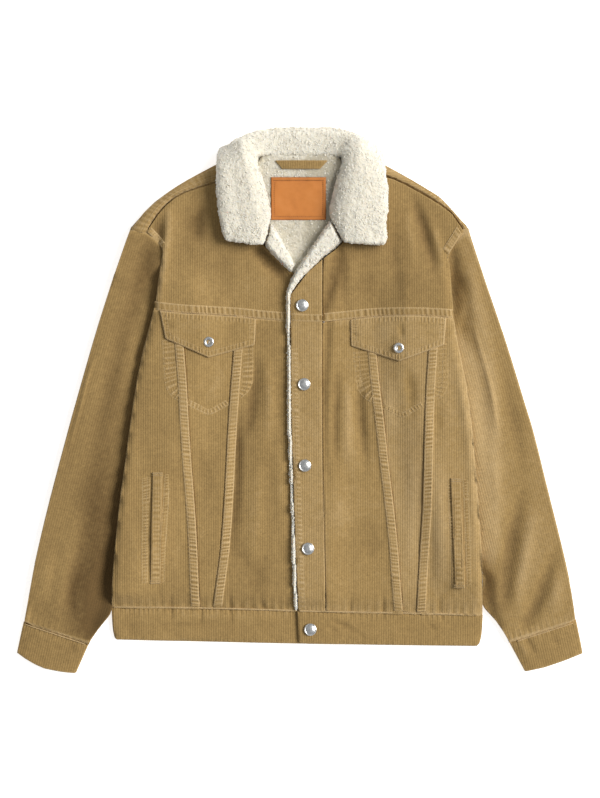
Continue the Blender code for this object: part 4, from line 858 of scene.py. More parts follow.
for side, grain in SLEEVE_GRAIN.items():
    part = "sleeve_under_" + side
    whole = Form("sleeve_top_" + side, part)
    panel = Panel(Form(part), grain, rows=BACK_ROWS, steps=BACK_STEPS, bitten=True)
    fit_sleeve(panel, side, whole, UNDER_INSET)
    outside = underside(panel, 4.0, 2.0)
    outer = panel.left if side == "right" else panel.right
    inside = panel.form.top(panel.x, panel.y) - UNDER_DEPTH
    inside -= UNDER_FOLD * np.clip(1 - outer / UNDER_FOLD_RUN, 0, 1)
    lay_down(part, panel, outside, np.maximum(inside, outside + UNDER_LEAST), (corduroy,))
    dress("sleeve_top_" + side, grain, SLEEVE_FOLDS[side], rows=6.5, pucker=SLEEVE_PUCKER,
          laid_on=Form("sleeve_top_" + side, shaved=2), tucked=(2.5, 6.0), bitten=True, inner=corduroy,
          fitted=lambda panel: fit_sleeve(panel, side, whole, TOP_INSET), roll=2.6, drop=1.8,
          wear_and_shading=SLEEVE_WEAR_AND_SHADE[side], shade=SLEEVE_SHADE.get(side), worn_and_lit_rim=0.40)

# ---------------------------------------------------------------------------
# The cuffs
# A folded band of corduroy at each wrist, sewn to the sleeve with two rows.
# ---------------------------------------------------------------------------
CUFF_FOLDS = {
    "right": (
        ((-300, -312, 0, 4), (-306, -332, -0.9, 5), (-304, -352, 0, 5)),
        ((-356, -318, 0, 4), (-330, -326, 0.6, 3), (-306, -336, 0, 4)),
    ),
    "left": (
        ((300, -312, 0, 4), (312, -330, -1.6, 4), (322, -350, 0, 4)),
        ((290, -318, 0, 4), (302, -336, 1.0, 4), (308, -352, 0, 4)),
        ((338, -306, 0, 5), (346, -326, -0.8, 5), (350, -342, 0, 5)),
    ),
}
CUFF_PUCKER = (("high", 0.5, 6.0, 14.0, 61),)
for side, wear_and_shading in (("right", 0.38), ("left", 0.46)):
    part = "cuff_" + side
    corded_ends[part] = dress(part, SLEEVE_GRAIN[side], CUFF_FOLDS[side], rows=2.4, inner=corduroy,
                              pucker=CUFF_PUCKER, roll=3.0, drop=2.0, wear_and_shading=wear_and_shading, worn_and_lit_rim=0.3)

# ---------------------------------------------------------------------------
# The placket
# A doubled strip of corduroy down the edge of the left front, over the sherpa
# facing, sewn down on each side.
# ---------------------------------------------------------------------------
placket = dress("placket", rows=2.8, inner=corduroy, drop=2.0, roll=3.0, wear_and_shading=0.58,
                pucker=(("low", 0.4, 6.0, 14.0, 71),))

# ---------------------------------------------------------------------------
# The felled seams of the V
# Along each, one panel's edge is folded over the other's and sewn down with two
# rows of stitches, which pucker the strip like a ladder. The thread is a paler
# tan, and washing has worn the puckers paler still.
# ---------------------------------------------------------------------------
STRIP_ALONG, STRIP_ACROSS = 1.1, 0.95  # from one point of a strip to the next
STRIP_RISE = 1.0
STRIP_RIB = 0.5 * RIB_HEIGHT
RUNG_SLANT = 0.12
STITCH_PITCH = 3.3
STITCH_LENGTH = 2.7
THREAD = 0.62
THREAD_OVER = 0.12  # the thread lies this far above the cloth that it pulls down
ROW_SINK, ROW_HALF = 0.40, 0.7  # how deep a row of stitches pulls the cloth, and how wide
STITCH_SINK, STITCH_ARCH = 0.00035, 0.0005  # m: its ends go into the cloth, its middle stands up
NARROW = 10.1  # a strip no wider than this belongs to the panel it is sewn on
sewn_on = {}  # the narrow strips on each panel
V_SEAMS = {
    # the seam line from the yoke down, how wide the strip is and to which side, and its panel
    "outer_right": (((-159.3, 116), (-155.7, 69.5), (-151.9, 21.8), (-148.9, -35.9), (-145.4, -89.6),
                     (-141.3, -143.7), (-138.1, -197), (-136.5, -236.8), (-134.7, -279)), -12.5,
                    "front_side_right"),
    "inner_right": (((-85.7, 112), (-89.2, 65), (-93, 17), (-96.9, -40), (-99.6, -93), (-102.5, -147),
                     (-106.5, -200), (-111.4, -239), (-116.8, -279)), 12.5, "front_centre_right"),
    "inner_left": (((99.9, 111), (104, 65), (108.7, 17), (115.4, -40), (121.2, -93), (127.6, -147),
                    (133, -200), (136, -241), (139.7, -285)), -12.5, "front_centre_left"),
    "outer_left": (((176.2, 112), (173.5, 64), (170.5, 16), (168.5, -42), (167.3, -96), (165.8, -150),
                    (162.4, -204), (160.2, -244), (158.1, -286)), 12.5, "front_side_left"),
}


class Strip:
    """A long narrow piece of cloth between two lines, with its places along and across it."""

    def __init__(self, near, far, rib_across=False):
        near, far = np.array(near, dtype=float), np.array(far, dtype=float)
        middle = (near + far) / 2
        length = np.hypot(*np.diff(middle, axis=0).T).sum()
        count = max(3, int(length / STRIP_ALONG))
        near, far = smooth_path(near, count), smooth_path(far, count)
        width = np.hypot(*(far - near).T)
        self.width = float(np.median(width))
        steps = max(4, int(self.width / STRIP_ACROSS)) + 1
        share = np.linspace(0, 1, steps)[:, None]
        run = np.concatenate([[0], np.cumsum(np.hypot(*np.diff((near + far) / 2, axis=0).T))])
        self.x = near[:, 0] + share * (far - near)[:, 0]
        self.y = near[:, 1] + share * (far - near)[:, 1]
        self.u = share * width
        self.v = np.broadcast_to(run, self.u.shape)
        turned = ((self.x[1, 0] - self.x[0, 0]) * (self.y[0, 1] - self.y[0, 0])
                  - (self.y[1, 0] - self.y[0, 0]) * (self.x[0, 1] - self.x[0, 0]))
        if turned < 0:
            self.x, self.y, self.u, self.v = (a[::-1] for a in (self.x, self.y, self.u, self.v))
        ends = np.minimum(self.v, run[-1] - self.v)
        self.across, self.along = self.u, self.v
        self.edge = np.minimum(np.minimum(self.u, width - self.u), ends)
        self.sides = np.minimum(self.u, width - self.u)
        if rib_across:
            self.u, self.v = self.v, self.u


def strip(name, near, far, on, seed, rise=STRIP_RISE, period=5.0, pucker=0.8, rows=(1.8, -1.8),
          rib_across=False, wear_and_shading=0.66, roll=1.6, depth=1.4, threads=None, spread_out=1.2, glint=0.28,
          contrast=0.38):
    """A sewn down strip that rides on a part, with its puckers; its stitch lines go to threads."""
    laid = Strip(near, far, rib_across)
    base = surfaces[on](laid.x, laid.y)
    ripple = rungs(laid.along + RUNG_SLANT * laid.across, period, seed)
    within = np.clip((laid.sides - 0.6) / spread_out, 0, 1)
    height = base + rise + pucker * ripple * within
    height += STRIP_RIB * (ribs(laid.u) - 1) * np.clip(laid.edge / 1.2, 0, 1)
    places = [row if row > 0 else laid.width + row for row in rows]
    for place in places:
        height -= ROW_SINK * np.exp(-((laid.across - place) / ROW_HALF) ** 2)
    # glint paints a highlight along both edges of the strip
    tone = wear_and_shading + contrast * ripple * within + glint * np.clip(1 - laid.sides / 2.0, 0, 1)
    height -= rolled(laid.edge, roll, rise + 0.3)
    piece = wall(name, laid, height, base - depth, tone, (corduroy,), coarse=(200, 12))
    sewn(piece, None)
    if min(np.ptp(laid.u), np.ptp(laid.v)) > NARROW:
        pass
    else:
        sewn_on.setdefault(on, []).append(piece)
    if threads is not None:
        for place in places:
            near_row = np.abs(laid.across[:, 0] - place).argmin()
            over = height[near_row] + THREAD_OVER
            threads.append(np.stack([laid.x[near_row], laid.y[near_row], over], axis=1))


def yarn_tree(name, source, numbers, cotton, result):
    """A new Geometry Nodes tree with named inputs, and those inputs."""
    tree = bpy.data.node_groups.new(name, "GeometryNodeTree")
    inputs = [(source, "Geometry"), *((label, "Float") for label in numbers), ("Seed", "Int"),
              (cotton, "Material")]
    for label, kind in inputs:
        tree.interface.new_socket(label, in_out="INPUT", socket_type="NodeSocket" + kind)
    tree.interface.new_socket(result, in_out="OUTPUT", socket_type="NodeSocketGeometry")
    return tree, tree.nodes.new("NodeGroupInput").outputs


def bent_yarn(tree, points, thickness):
    """A short bent piece of yarn through three points, each given by its coordinates."""
    start, middle, end = (node(tree, "ShaderNodeCombineXYZ", point).outputs[0] for point in points)
    bend = node(tree, "GeometryNodeCurveQuadraticBezier", {
        "Resolution": 3, "Start": start, "Middle": middle, "End": end})
    ring = node(tree, "GeometryNodeCurvePrimitiveCircle", {
        "Resolution": 4, "Radius": math_node(tree, "MULTIPLY", thickness, 0.5)})
    return node(tree, "GeometryNodeCurveToMesh", {
        "Curve": bend.outputs[0], "Profile Curve": ring.outputs[0], "Fill Caps": True}).outputs[0]


def set_out(tree, given, points, yarn, turned, sizes, cotton):
    """Sets the yarn on every point, in sizes that vary, and makes it real, of its own material."""
    size = node(tree, "FunctionNodeRandomValue", {2: sizes[0], 3: sizes[1], "Seed": given["Seed"]},
                data_type="FLOAT")
    placed = node(tree, "GeometryNodeInstanceOnPoints", {
        "Points": points, "Instance": yarn, "Rotation": turned, "Scale": size.outputs[1]})
    real = node(tree, "GeometryNodeRealizeInstances", {0: placed.outputs[0]})
    soft = node(tree, "GeometryNodeSetShadeSmooth", {0: real.outputs[0]})
    dyed = node(tree, "GeometryNodeSetMaterial", {"Geometry": soft.outputs[0], "Material": given[cotton]})
    tree.links.new(dyed.outputs[0], tree.nodes.new("NodeGroupOutput").inputs[0])


def stitch_tree():
    """Geometry Nodes: short bent stitches of thread set end to end along every row of points."""
    tree, given = yarn_tree("topstitching", "Rows", ("Pitch", "Stitch length", "Thread thickness"),
                            "Cotton", "Stitches")
    curve = node(tree, "GeometryNodeMeshToCurve", {"Mesh": given["Rows"]})
    evenly = node(tree, "GeometryNodeResampleCurve", {"Curve": curve.outputs[0], "Length": given["Pitch"]},
                  mode="LENGTH")
    ahead = math_node(tree, "MULTIPLY", given["Stitch length"], 0.5)
    behind = math_node(tree, "MULTIPLY", ahead, -1.0)
    arch = ({0: behind, 2: -STITCH_SINK}, {2: STITCH_ARCH}, {0: ahead, 2: -STITCH_SINK})
    stitch = bent_yarn(tree, arch, given["Thread thickness"])
    tangent = node(tree, "GeometryNodeInputTangent")
    turned = node(tree, "FunctionNodeAlignRotationToVector", {"Vector": tangent.outputs[0]}, axis="X")
    set_out(tree, given, evenly.outputs[0], stitch, turned.outputs[0], (0.86, 1.08), "Cotton")
    return tree


def thread_material(name, colour, dark):
    """Cotton or polyester thread, its twist as fine slanting stripes."""
    material, tree, shader = cloth_nodes(name, 0.7, 0.1, (1, 0.95, 0.85))
    place = node(tree, "ShaderNodeTexCoord").outputs["Object"]
    twist = node(tree, "ShaderNodeTexWave", {"Vector": place, "Scale": 900.0, "Distortion": 2.0},
                 bands_direction="DIAGONAL").outputs["Fac"]
    surfaced(tree, shader, mixed(tree, "MIX", twist, (*dark, 1), (*colour, 1)), twist, 0.3, 0.0001)
    return material


def grown(name, source, tree, values):
    """Runs a Geometry Nodes tree on a source mesh and keeps the result as a plain piece."""
    modifier = source.modifiers.new(name, "NODES")
    modifier.node_group = tree
    for socket in tree.interface.items_tree:
        if socket.item_type == "SOCKET" and socket.in_out == "INPUT" and socket.name in values:
            modifier[socket.identifier] = values[socket.name]
    evaluated = source.evaluated_get(bpy.context.evaluated_depsgraph_get())
    mesh = bpy.data.meshes.new_from_object(evaluated)
    mesh.name = name
    piece = bpy.data.objects.new(name, mesh)
    scene.collection.objects.link(piece)
    source.modifiers.remove(modifier)
    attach(piece, "root")


topstitching = stitch_tree()
tan_thread = thread_material("tan_thread", (0.56, 0.42, 0.23), (0.40, 0.28, 0.13))


def sew(name, rows, seed, pitch=STITCH_PITCH, length=STITCH_LENGTH, thread=THREAD, cotton=tan_thread):
    """Sews rows of stitches, each row given as its points in millimetres."""
    points = np.concatenate(rows) * 0.001
    edges, start = [], 0
    for row in rows:
        edges += [(start + k, start + k + 1) for k in range(len(row) - 1)]
        start += len(row)
    mesh = bpy.data.meshes.new(name + "_rows")
    mesh.from_pydata(points.tolist(), edges, [])
    source = bpy.data.objects.new(name + "_rows", mesh)
    scene.collection.objects.link(source)
    grown(name, source, topstitching, {
        "Pitch": pitch * 0.001, "Stitch length": length * 0.001, "Thread thickness": thread * 0.001,
        "Seed": seed, "Cotton": cotton})
    bpy.data.objects.remove(source)


v_threads = []
for seed, (name, (line, width, panel_name)) in enumerate(V_SEAMS.items()):
    seam = np.array(line)
    strip("felled_seam_" + name, seam, seam + (width, 0), panel_name, 100 + 3 * seed, threads=v_threads)
sew("felled_seam_stitches", v_threads, 1)

# ---------------------------------------------------------------------------
# The seams of the yokes, the shoulders and the armholes, and the placket's rows
# Felled like those of the V. The yokes' edges lap over the panels below with the
# ribs across, and the back yoke comes forward over each shoulder.
# ---------------------------------------------------------------------------
YOKE_BANDS = {
    "right": ((-195.5, 122.2), (-159, 118.2), (-125, 116.3), (-86, 114.0), (-50, 110.2), (-14.5, 107.5)),
    "left": ((32.5, 106.2), (66, 109.8), (100, 113.3), (140, 114.2), (176, 113.6), (207, 111.6)),
}
seam_threads = []
for side, line in YOKE_BANDS.items():
    seam = np.array(line)
    strip("yoke_seam_band_" + side, seam - (0, 0.8), seam + (0, 11.0), "front_yoke_" + side, 120,
          rise=0.7, period=6.5, pucker=0.35, rib_across=True, threads=seam_threads, wear_and_shading=0.56, glint=0.55)

SHOULDER_BANDS = {
    # the seam with the front yoke, then the fold over the shoulder
    "right": (((-207.3, 224.8), (-199.5, 239.5), (-186.2, 258.6), (-166, 275.8), (-144, 284.9),
               (-113, 294.4), (-90, 299.0)),
              ((-229.3, 228.8), (-214.5, 247.5), (-198.0, 264.8), (-176.0, 281.0), (-154, 295.2),
               (-112.5, 317.5), (-94, 325.5))),
    "left": (((223.3, 226.2), (206.8, 252.2), (185.3, 267.8), (162.8, 281.4), (121.4, 301.4), (94, 307)),
             ((228.3, 231.2), (206.9, 255.8), (190.0, 273.4), (173.0, 284.4), (145.0, 301.0), (102, 324.5))),
}
surfaces["back_yoke"] = Form("back_yoke", step=3.0).top
for side, (seam, fold) in SHOULDER_BANDS.items():
    strip("shoulder_band_" + side, seam, fold, "back_yoke", 130, rise=0.5, period=7.0, pucker=0.10,
          rows=(1.8, 8.0), threads=seam_threads, wear_and_shading=0.60, roll=3.0, depth=1.0, contrast=0.18)
ARMHOLE_BANDS = {
    "right": (((-186.3, 205.5), (-195.4, 216.5), (-206.2, 226.6)),
              ((-180.5, 211.5), (-189.5, 222.5), (-199.5, 233.0))),
    "left": (((200.8, 195.5), (209.0, 208.5), (219.0, 225.0)),
             ((192.5, 203.0), (201.5, 217.5), (212.5, 235.0))),
}
for side, (seam, inner_line) in ARMHOLE_BANDS.items():
    strip("armhole_band_" + side, seam, inner_line, "front_yoke_" + side, 140, rise=0.9,
          pucker=0.45, threads=seam_threads)
LAPEL = 100  # the front edge slants away above this
YOKE_OVER_PLACKET = ((-11.5, 106.6), (10, 105.6), (30.6, 105.4))
seam = np.array(YOKE_OVER_PLACKET)
strip("yoke_seam_band_placket", seam, seam + (0, 10.5), "placket", 126, rise=0.6, period=6.0,
      pucker=0.25, rib_across=True, threads=seam_threads, wear_and_shading=0.56, glint=0.5)
middle = placket.u.shape[0] // 2
rows = np.flatnonzero(placket.y[middle] < LAPEL)[2:-2:12]
edge_x, edge_y = (placket.x - placket.left)[middle, rows], placket.y[middle, rows]
strip("placket_edge_row", np.stack([edge_x + 1.2, edge_y], 1), np.stack([edge_x + 11.5, edge_y], 1),
      "placket", 128, rise=0.1, period=6.0, pucker=0.55, wear_and_shading=0.68, glint=0.16, contrast=0.40,
      spread_out=2.4, threads=seam_threads)
edge_x, edge_y = placket.x[-1, ::14], placket.y[-1, ::14]
strip("placket_seam_row", np.stack([edge_x - 6.0, edge_y], 1), np.stack([edge_x - 0.6, edge_y], 1),
      "placket", 129, rise=0.3, period=6.0, pucker=0.3, wear_and_shading=0.66, contrast=0.25, rows=(2.7,),
      threads=seam_threads)
sew("seam_stitches", seam_threads, 2)

# ---------------------------------------------------------------------------
# The cords of stitches at the waist and the cuffs, and the edge of the right front
# Where the band and the cuffs are sewn on, the tight stitches stand up as pale
# cords. The right front's turned edge shows beside the facing at the neck.
# ---------------------------------------------------------------------------
# how far from the seam each cord starts and ends
BAND_CORDS = ((-1.2, 1.4),)
CUFF_CORDS = ((-1.0, 0.8), (2.4, 4.2))
for side in ("right", "left"):
    joined = Form("front_side_" + side, "front_gore_" + side, "front_centre_" + side, "waistband_" + side)
    surfaces["waistband_" + side] = joined.top
every = slice(3, -3, 16)  # of the columns
for part, panel in corded_ends.items():
    for k, (upper, lower) in enumerate(BAND_CORDS if part.startswith("waistband") else CUFF_CORDS):
        near, far = (np.stack(panel.grain.place(panel.u[every, -1], panel.v[every, -1] - away), 1)
                     for away in (upper, lower))
        strip(f"{part}_cord_{k + 1}", near, far, part, 135 + k, rise=1.4, period=4.0, pucker=0.25,
              rows=(), wear_and_shading=0.95, roll=0.9, glint=0.0, contrast=0.2, spread_out=0.4)
FRONT_EDGE = (((-48, 204), (-35, 192), (-21, 177), (-9, 161)),
              ((-43.5, 209), (-30.5, 197), (-16.5, 181.5), (-4.5, 165)))
# this edge is painted darker: painted shade for the shadow it lies in beside the lapel
strip("front_edge_right", *FRONT_EDGE, "front_yoke_right", 139, rise=1.2, rows=(), wear_and_shading=0.30, pucker=0.2)

# ---------------------------------------------------------------------------
# The chest pockets
# Their bags hang inside, and two rows of stitches that hold them show as a
# puckered outline. Over each opening lies a pointed flap of doubled corduroy.
# ---------------------------------------------------------------------------
POCKET_OUTLINES = {
    "right": ((-150.5, -3), (-138, -9), (-122.5, -16), (-108, -9.5), (-96.5, -3)),
    "left": ((112, -8.5), (126, -14), (139, -20), (153, -12.5), (166, -6)),
}
POCKET_SIDES = {
    # the outer line of each puckered side and its inner line, beside the felled seam
    "right_1": (((-186, 82), (-184.5, 50), (-182, 21), (-174, 5), (-159, -4)),
                ((-169, 82), (-167, 50), (-165, 25), (-162, 14), (-154, 5)), "front_side_right"),
    "right_2": (((-77, 82), (-77.5, 52), (-79, 28), (-81, 17), (-87, 8)),
                ((-61.5, 80), (-61.5, 52), (-62.5, 26), (-67.5, 12), (-80, 1)), "front_centre_right"),
    "left_1": (((71, 78), (73, 48), (77, 18), (85, 4), (96, -4)),
               ((91, 78), (93.5, 48), (96, 24), (98.5, 14), (103, 6)), "front_centre_left"),
    "left_2": (((186.5, 78), (185, 50), (183.5, 26), (182, 14), (178, 5)),
               ((199.5, 76), (200, 50), (200, 26), (196, 9), (183, -1)), "front_side_left"),
}
OUTLINE_WIDTH = 8.6
FLAP_STITCH_INSETS = (2.0, 7.6)
FLAP_FOLDS = (
    ((-186, 108, 0, 5), (-174, 100, -0.8, 5), (-168, 92, 0, 4)),
    ((-100, 104, 0, 8), (-94, 92, -0.7, 8), (-90, 80, 0, 6)),
    ((-150, 100, 0, 12), (-130, 98, 0.8, 12), (-112, 96, 0, 10)),
    ((136, 108, 0, 5), (137, 92, -1.6, 4), (138, 80, 0, 4)),
    ((100, 100, 0, 14), (116, 92, 1.1, 14), (126, 88, 0, 10)),
    ((150, 98, 0, 9), (160, 88, 0.7, 9), (170, 80, 0, 8)),
    ((66, 92, 0, 4), (74, 88, -0.9, 4), (82, 82, 0, 4)),
)
FLAP_OUTLINES = {
    "right": ((-188.3, 116.5), (-180.6, 82.4), (-122.7, 57.2), (-60.1, 74.2), (-58.7, 111.0)),
    "left": ((68.2, 108.6), (69.5, 72.9), (134.3, 52.1), (195.1, 74.2), (197.8, 111.2)),
}


def inset_line(corners, inset):
    """The open outline moved in by inset, its corners kept sharp."""
    corners = np.array(corners, dtype=float)
    run = np.diff(corners, axis=0)
    run /= np.hypot(*run.T)[:, None]
    inward = np.stack([-run[:, 1], run[:, 0]], axis=1) * inset
    moved = [corners[0] + inward[0]]
    for k in range(1, len(run)):
        half = inward[k - 1] + inward[k]
        moved.append(corners[k] + half * 2 * inset ** 2 / (half @ half))
    return np.array([*moved, corners[-1] + inward[-1]])


def offset_line(line, width):
    """The line moved sideways by width."""
    path = np.array(line, dtype=float)
    run = np.gradient(path, axis=0)
    run /= np.hypot(*run.T)[:, None]
    return path + width * np.stack([-run[:, 1], run[:, 0]], axis=1)


pocket_threads = []
for side, line in POCKET_OUTLINES.items():
    near, far = (offset_line(line, way * OUTLINE_WIDTH / 2) for way in (-1, 1))
    strip("pocket_outline_" + side, near, far, "front_gore_" + side, 160, rise=0.2, period=5.0,
          pucker=0.7, threads=pocket_threads, wear_and_shading=0.56, roll=1.2, spread_out=2.0)
for k, (name, (near, far, panel_name)) in enumerate(POCKET_SIDES.items()):
    strip("pocket_side_" + name, near, far, panel_name, 164 + 3 * k, rise=0.2, period=6.5,
          pucker=0.9, rows=(1.8, 7.6) if k % 2 == 0 else (-1.8, -7.6), threads=pocket_threads, wear_and_shading=0.50,
          roll=1.2, spread_out=2.5, glint=0.2, contrast=0.36)
for side, wear_and_shading in (("right", 0.50), ("left", 0.62)):
    name = "pocket_flap_" + side
    dress(name, table=FLAP_FOLDS, rows=1.5, inner=corduroy, roll=1.8, drop=1.8, step=3.0,
          border=(1.6, 8.6, 0.60, 5.0, 170), worn_and_lit_rim=0.5, wear_and_shading=wear_and_shading)
    for inset in FLAP_STITCH_INSETS:
        row = inset_line(FLAP_OUTLINES[side], inset)
        at = np.concatenate([a + np.linspace(0, 1, 30)[:-1, None] * (b - a) for a, b in zip(row, row[1:])])
        height = surfaces[name](at[:, 0], at[:, 1]) - 0.15
        pocket_threads.append(np.column_stack([at, height]))
sew("pocket_stitches", pocket_threads, 3)

# ---------------------------------------------------------------------------
# The hand pockets
# A slit in each side panel with a narrow welt of corduroy along it, stitched all
# round, with a bar of tight stitches across each end.
# ---------------------------------------------------------------------------
welt_threads = []
bar_threads = []
HAND_POCKETS = {
    # the outer and inner line of the puckered rows on either side of the welt
    "right": ((((-213.5, -105), (-212.5, -150), (-213.5, -200), (-213.0, -247)),
               ((-199.5, -103), (-202.5, -150), (-203.5, -200), (-204.3, -247))),
              (((-182.5, -100), (-186.0, -150), (-189.5, -200), (-190.2, -247)),
               ((-175.0, -100), (-177.0, -150), (-180.5, -200), (-182.5, -247)))),
    "left": ((((198.5, -106), (200.5, -150), (204.0, -200), (205.0, -252)),
              ((207.5, -106), (208.8, -150), (211.0, -200), (213.0, -252))),
             (((218.8, -106), (220.6, -150), (223.0, -200), (224.8, -252)),
              ((227.5, -108), (229.5, -150), (231.5, -200), (233.0, -252)))),
}
BAR_INSETS = (1.6, 4.2)  # how far from the welt's end each bar of stitches is
BAR_HALF = 6.5
BAR_OVER = 0.35
for side, rows in HAND_POCKETS.items():
    dress("welt_" + side, rows=1.3, inner=corduroy, roll=1.3, drop=1.3, step=3.0, wear_and_shading=0.56,
          border=(1.0, 9.0, 0.35, 6.5, 180), slack=0.3)
    for k, (near, far) in enumerate(rows):
        strip(f"welt_rows_{side}_{k + 1}", near, far, "front_side_" + side, 184 + k, rise=0.25,
              period=4.4, pucker=0.5, threads=welt_threads, wear_and_shading=0.55, roll=1.2, rows=(1.6, -1.6),
              spread_out=1.8)
    low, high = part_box("welt_" + side)
    slant = 1.6 if side == "right" else -1.6
    for end, way in ((high, -1), (low, 1)):
        for inset in BAR_INSETS:
            middle = (low[0] + high[0]) * 500 - way * slant
            across = np.linspace(middle - BAR_HALF, middle + BAR_HALF, 8)
            level = np.full(8, end[1] * 1000 + way * inset)
            over = surfaces["welt_" + side](across, level) + BAR_OVER
            bar_threads.append(np.column_stack([across, level, over]))
sew("welt_stitches", welt_threads, 4)
sew("pocket_bar_stitches", bar_threads, 5, pitch=1.3, length=1.5, thread=0.8)

# ---------------------------------------------------------------------------
# The sherpa: the back neck lining, the facings and the collar
# A deep curly pile of polyester on a knitted back. The collar's upper side is
# the same pile on corduroy, folded over outside the neck, and the facing shows as
# a furry edge down the front.
# ---------------------------------------------------------------------------
PILE_STEP = 1.45
PILE_FORM_STEP = 3.0
PILE_REACH = 0.6  # how far the pile stands out past its solid
PILE_ROLL, PILE_SHARE = 4.5, 0.55  # how far in its edge is rounded, by what share of its depth
PILE_SIDES = 3  # rows of points down its edge
PILE_LOWEST = 0.3
RIM_PASSES = 3
# the lumps' tone is painted shade, darker down between them
PILE_TONE, LUMP_TONE = 0.34, 0.22
LEAN_START, LEAN_RUN = 4, 20  # painted shade greys the lining to the right of this, over this run, where the collar's wing shadows it
CURL = 4.6  # from one lump of the pile to the next, mm
CURL_HEIGHT, SMALL_LUMPS, LUMP_MIDDLE = 1.1, 0.45, 0.65
CURL_TABLE = 32
COLLAR_TIP, TIP_RUN = 236.0, 20  # below this the collar is drawn out to its points
TIP_OUT, TIP_OUT_RUN = 1.2, 16
WING, WING_RUN = 92, 12
NECK_TOP, NECK_RUN = 306.0, 12  # above this the lining is drawn out under the collar
NECK_SIDE, NECK_SIDE_MORE = 22, 0.8  # and more so past this far from the middle
PRESSED_IN = 4.0  # how far the patch presses the pile down


def curls(points, cell, seed):
    """Rounded lumps of pile: 1 on the crown of each and 0 down between them."""
    table = np.random.default_rng(seed).uniform(0.1, 0.9, (CURL_TABLE, CURL_TABLE, CURL_TABLE, 3))
    scaled = points / (cell, 1.25 * cell, cell)
    base = np.floor(scaled).astype(int)
    best = np.full(len(points), 4.0)
    for offset in np.ndindex(3, 3, 3):
        corner = base + offset - (1, 1, 1)
        place = corner + table[tuple((corner % CURL_TABLE).T)]
        best = np.minimum(best, ((scaled - place) ** 2).sum(1))
    return np.clip(1 - 1.15 * best, 0, 1) ** 0.8


COLLAR_LIFT = (
    # its wings stand up off the shoulders at their outer edges
    ((-112, 345, 2, 14), (-110, 316, 8, 16), (-107, 270, 9, 17), (-105, 235, 9, 17), (-98, 216, 8, 16),
     (-75, 212, 5, 14), (-50, 212, 2, 12)),
    ((60, 214, 2, 12), (90, 212, 4, 13), (112, 216, 5, 14), (117, 250, 5, 14), (118, 300, 3, 14),
     (112, 330, 0, 14)),
)
FORE, AFT = slice(1, None), slice(None, -1)
CELL_CORNERS = ((AFT, AFT), (FORE, AFT), (FORE, FORE), (AFT, FORE))


def pile_grid(form):
    """A grid of points over a solid, its rim smoothed and set out a little, with its faces and rim."""
    low, high = form.points.min(0), form.points.max(0)
    gx = np.arange(low[0] - PILE_STEP, high[0] + 2 * PILE_STEP, PILE_STEP)
    gy = np.arange(low[1] - PILE_STEP, high[1] + 2 * PILE_STEP, PILE_STEP)
    inside = np.array([[form.tree.ray_cast((x, y, ABOVE), DOWN)[0] is not None for y in gy] for x in gx])
    cell = np.logical_and.reduce([inside[corner] for corner in CELL_CORNERS])
    used = np.zeros(inside.shape, dtype=bool)
    for corner in CELL_CORNERS:
        used[corner] |= cell
    index = np.full(inside.shape, -1)
    index[used] = np.arange(used.sum())
    ix, iy = np.nonzero(used)
    x, y = gx[ix], gy[iy]
    quads = np.stack([index[corner][cell] for corner in CELL_CORNERS], 1)
    sides = np.concatenate([quads[:, [k, (k + 1) % 4]] for k in range(4)])
    forward, backward = sides.astype(np.int64) @ (len(x), 1), sides.astype(np.int64) @ (1, len(x))
    rim = sides[~np.isin(forward, backward)]
    edge = np.unique(rim)
    for _ in range(RIM_PASSES):
        total, count = np.zeros((len(x), 2)), np.zeros(len(x))
        for a, b in ((0, 1), (1, 0)):
            np.add.at(total, rim[:, a], np.stack([x[rim[:, b]], y[rim[:, b]]], 1))
            np.add.at(count, rim[:, a], 1)
        mean = total[edge] / count[edge][:, None]
        x[edge] = 0.5 * x[edge] + 0.5 * mean[:, 0]
        y[edge] = 0.5 * y[edge] + 0.5 * mean[:, 1]
    out = np.zeros((len(x), 2))
    run = np.stack([x[rim[:, 1]] - x[rim[:, 0]], y[rim[:, 1]] - y[rim[:, 0]]], 1)
    for a in (0, 1):
        np.add.at(out, rim[:, a], np.stack([run[:, 1], -run[:, 0]], 1))
    out /= np.maximum(np.hypot(*out.T), 1e-9)[:, None]
    x[edge] += PILE_REACH * out[edge, 0]
    y[edge] += PILE_REACH * out[edge, 1]
    return x, y, quads, rim


def drawn_out(x, y, low_end, high_end):
    """The points with the lower end drawn down and out to its tips, and the upper end drawn up."""
    y = y - low_end * np.clip((COLLAR_TIP - y) / TIP_RUN, 0, 1)
    more = 1 + NECK_SIDE_MORE * np.clip((np.abs(x) - NECK_SIDE) / NECK_RUN, 0, 1)
    y = y + high_end * np.clip((y - NECK_TOP) / NECK_RUN, 0, 1) * more
    near_tip = np.clip((COLLAR_TIP - y) / TIP_OUT_RUN, 0, 1)
    near_tip = near_tip * np.clip((np.abs(x) - WING) / WING_RUN, 0, 1)
    return x + TIP_OUT * low_end * near_tip * np.sign(x), y


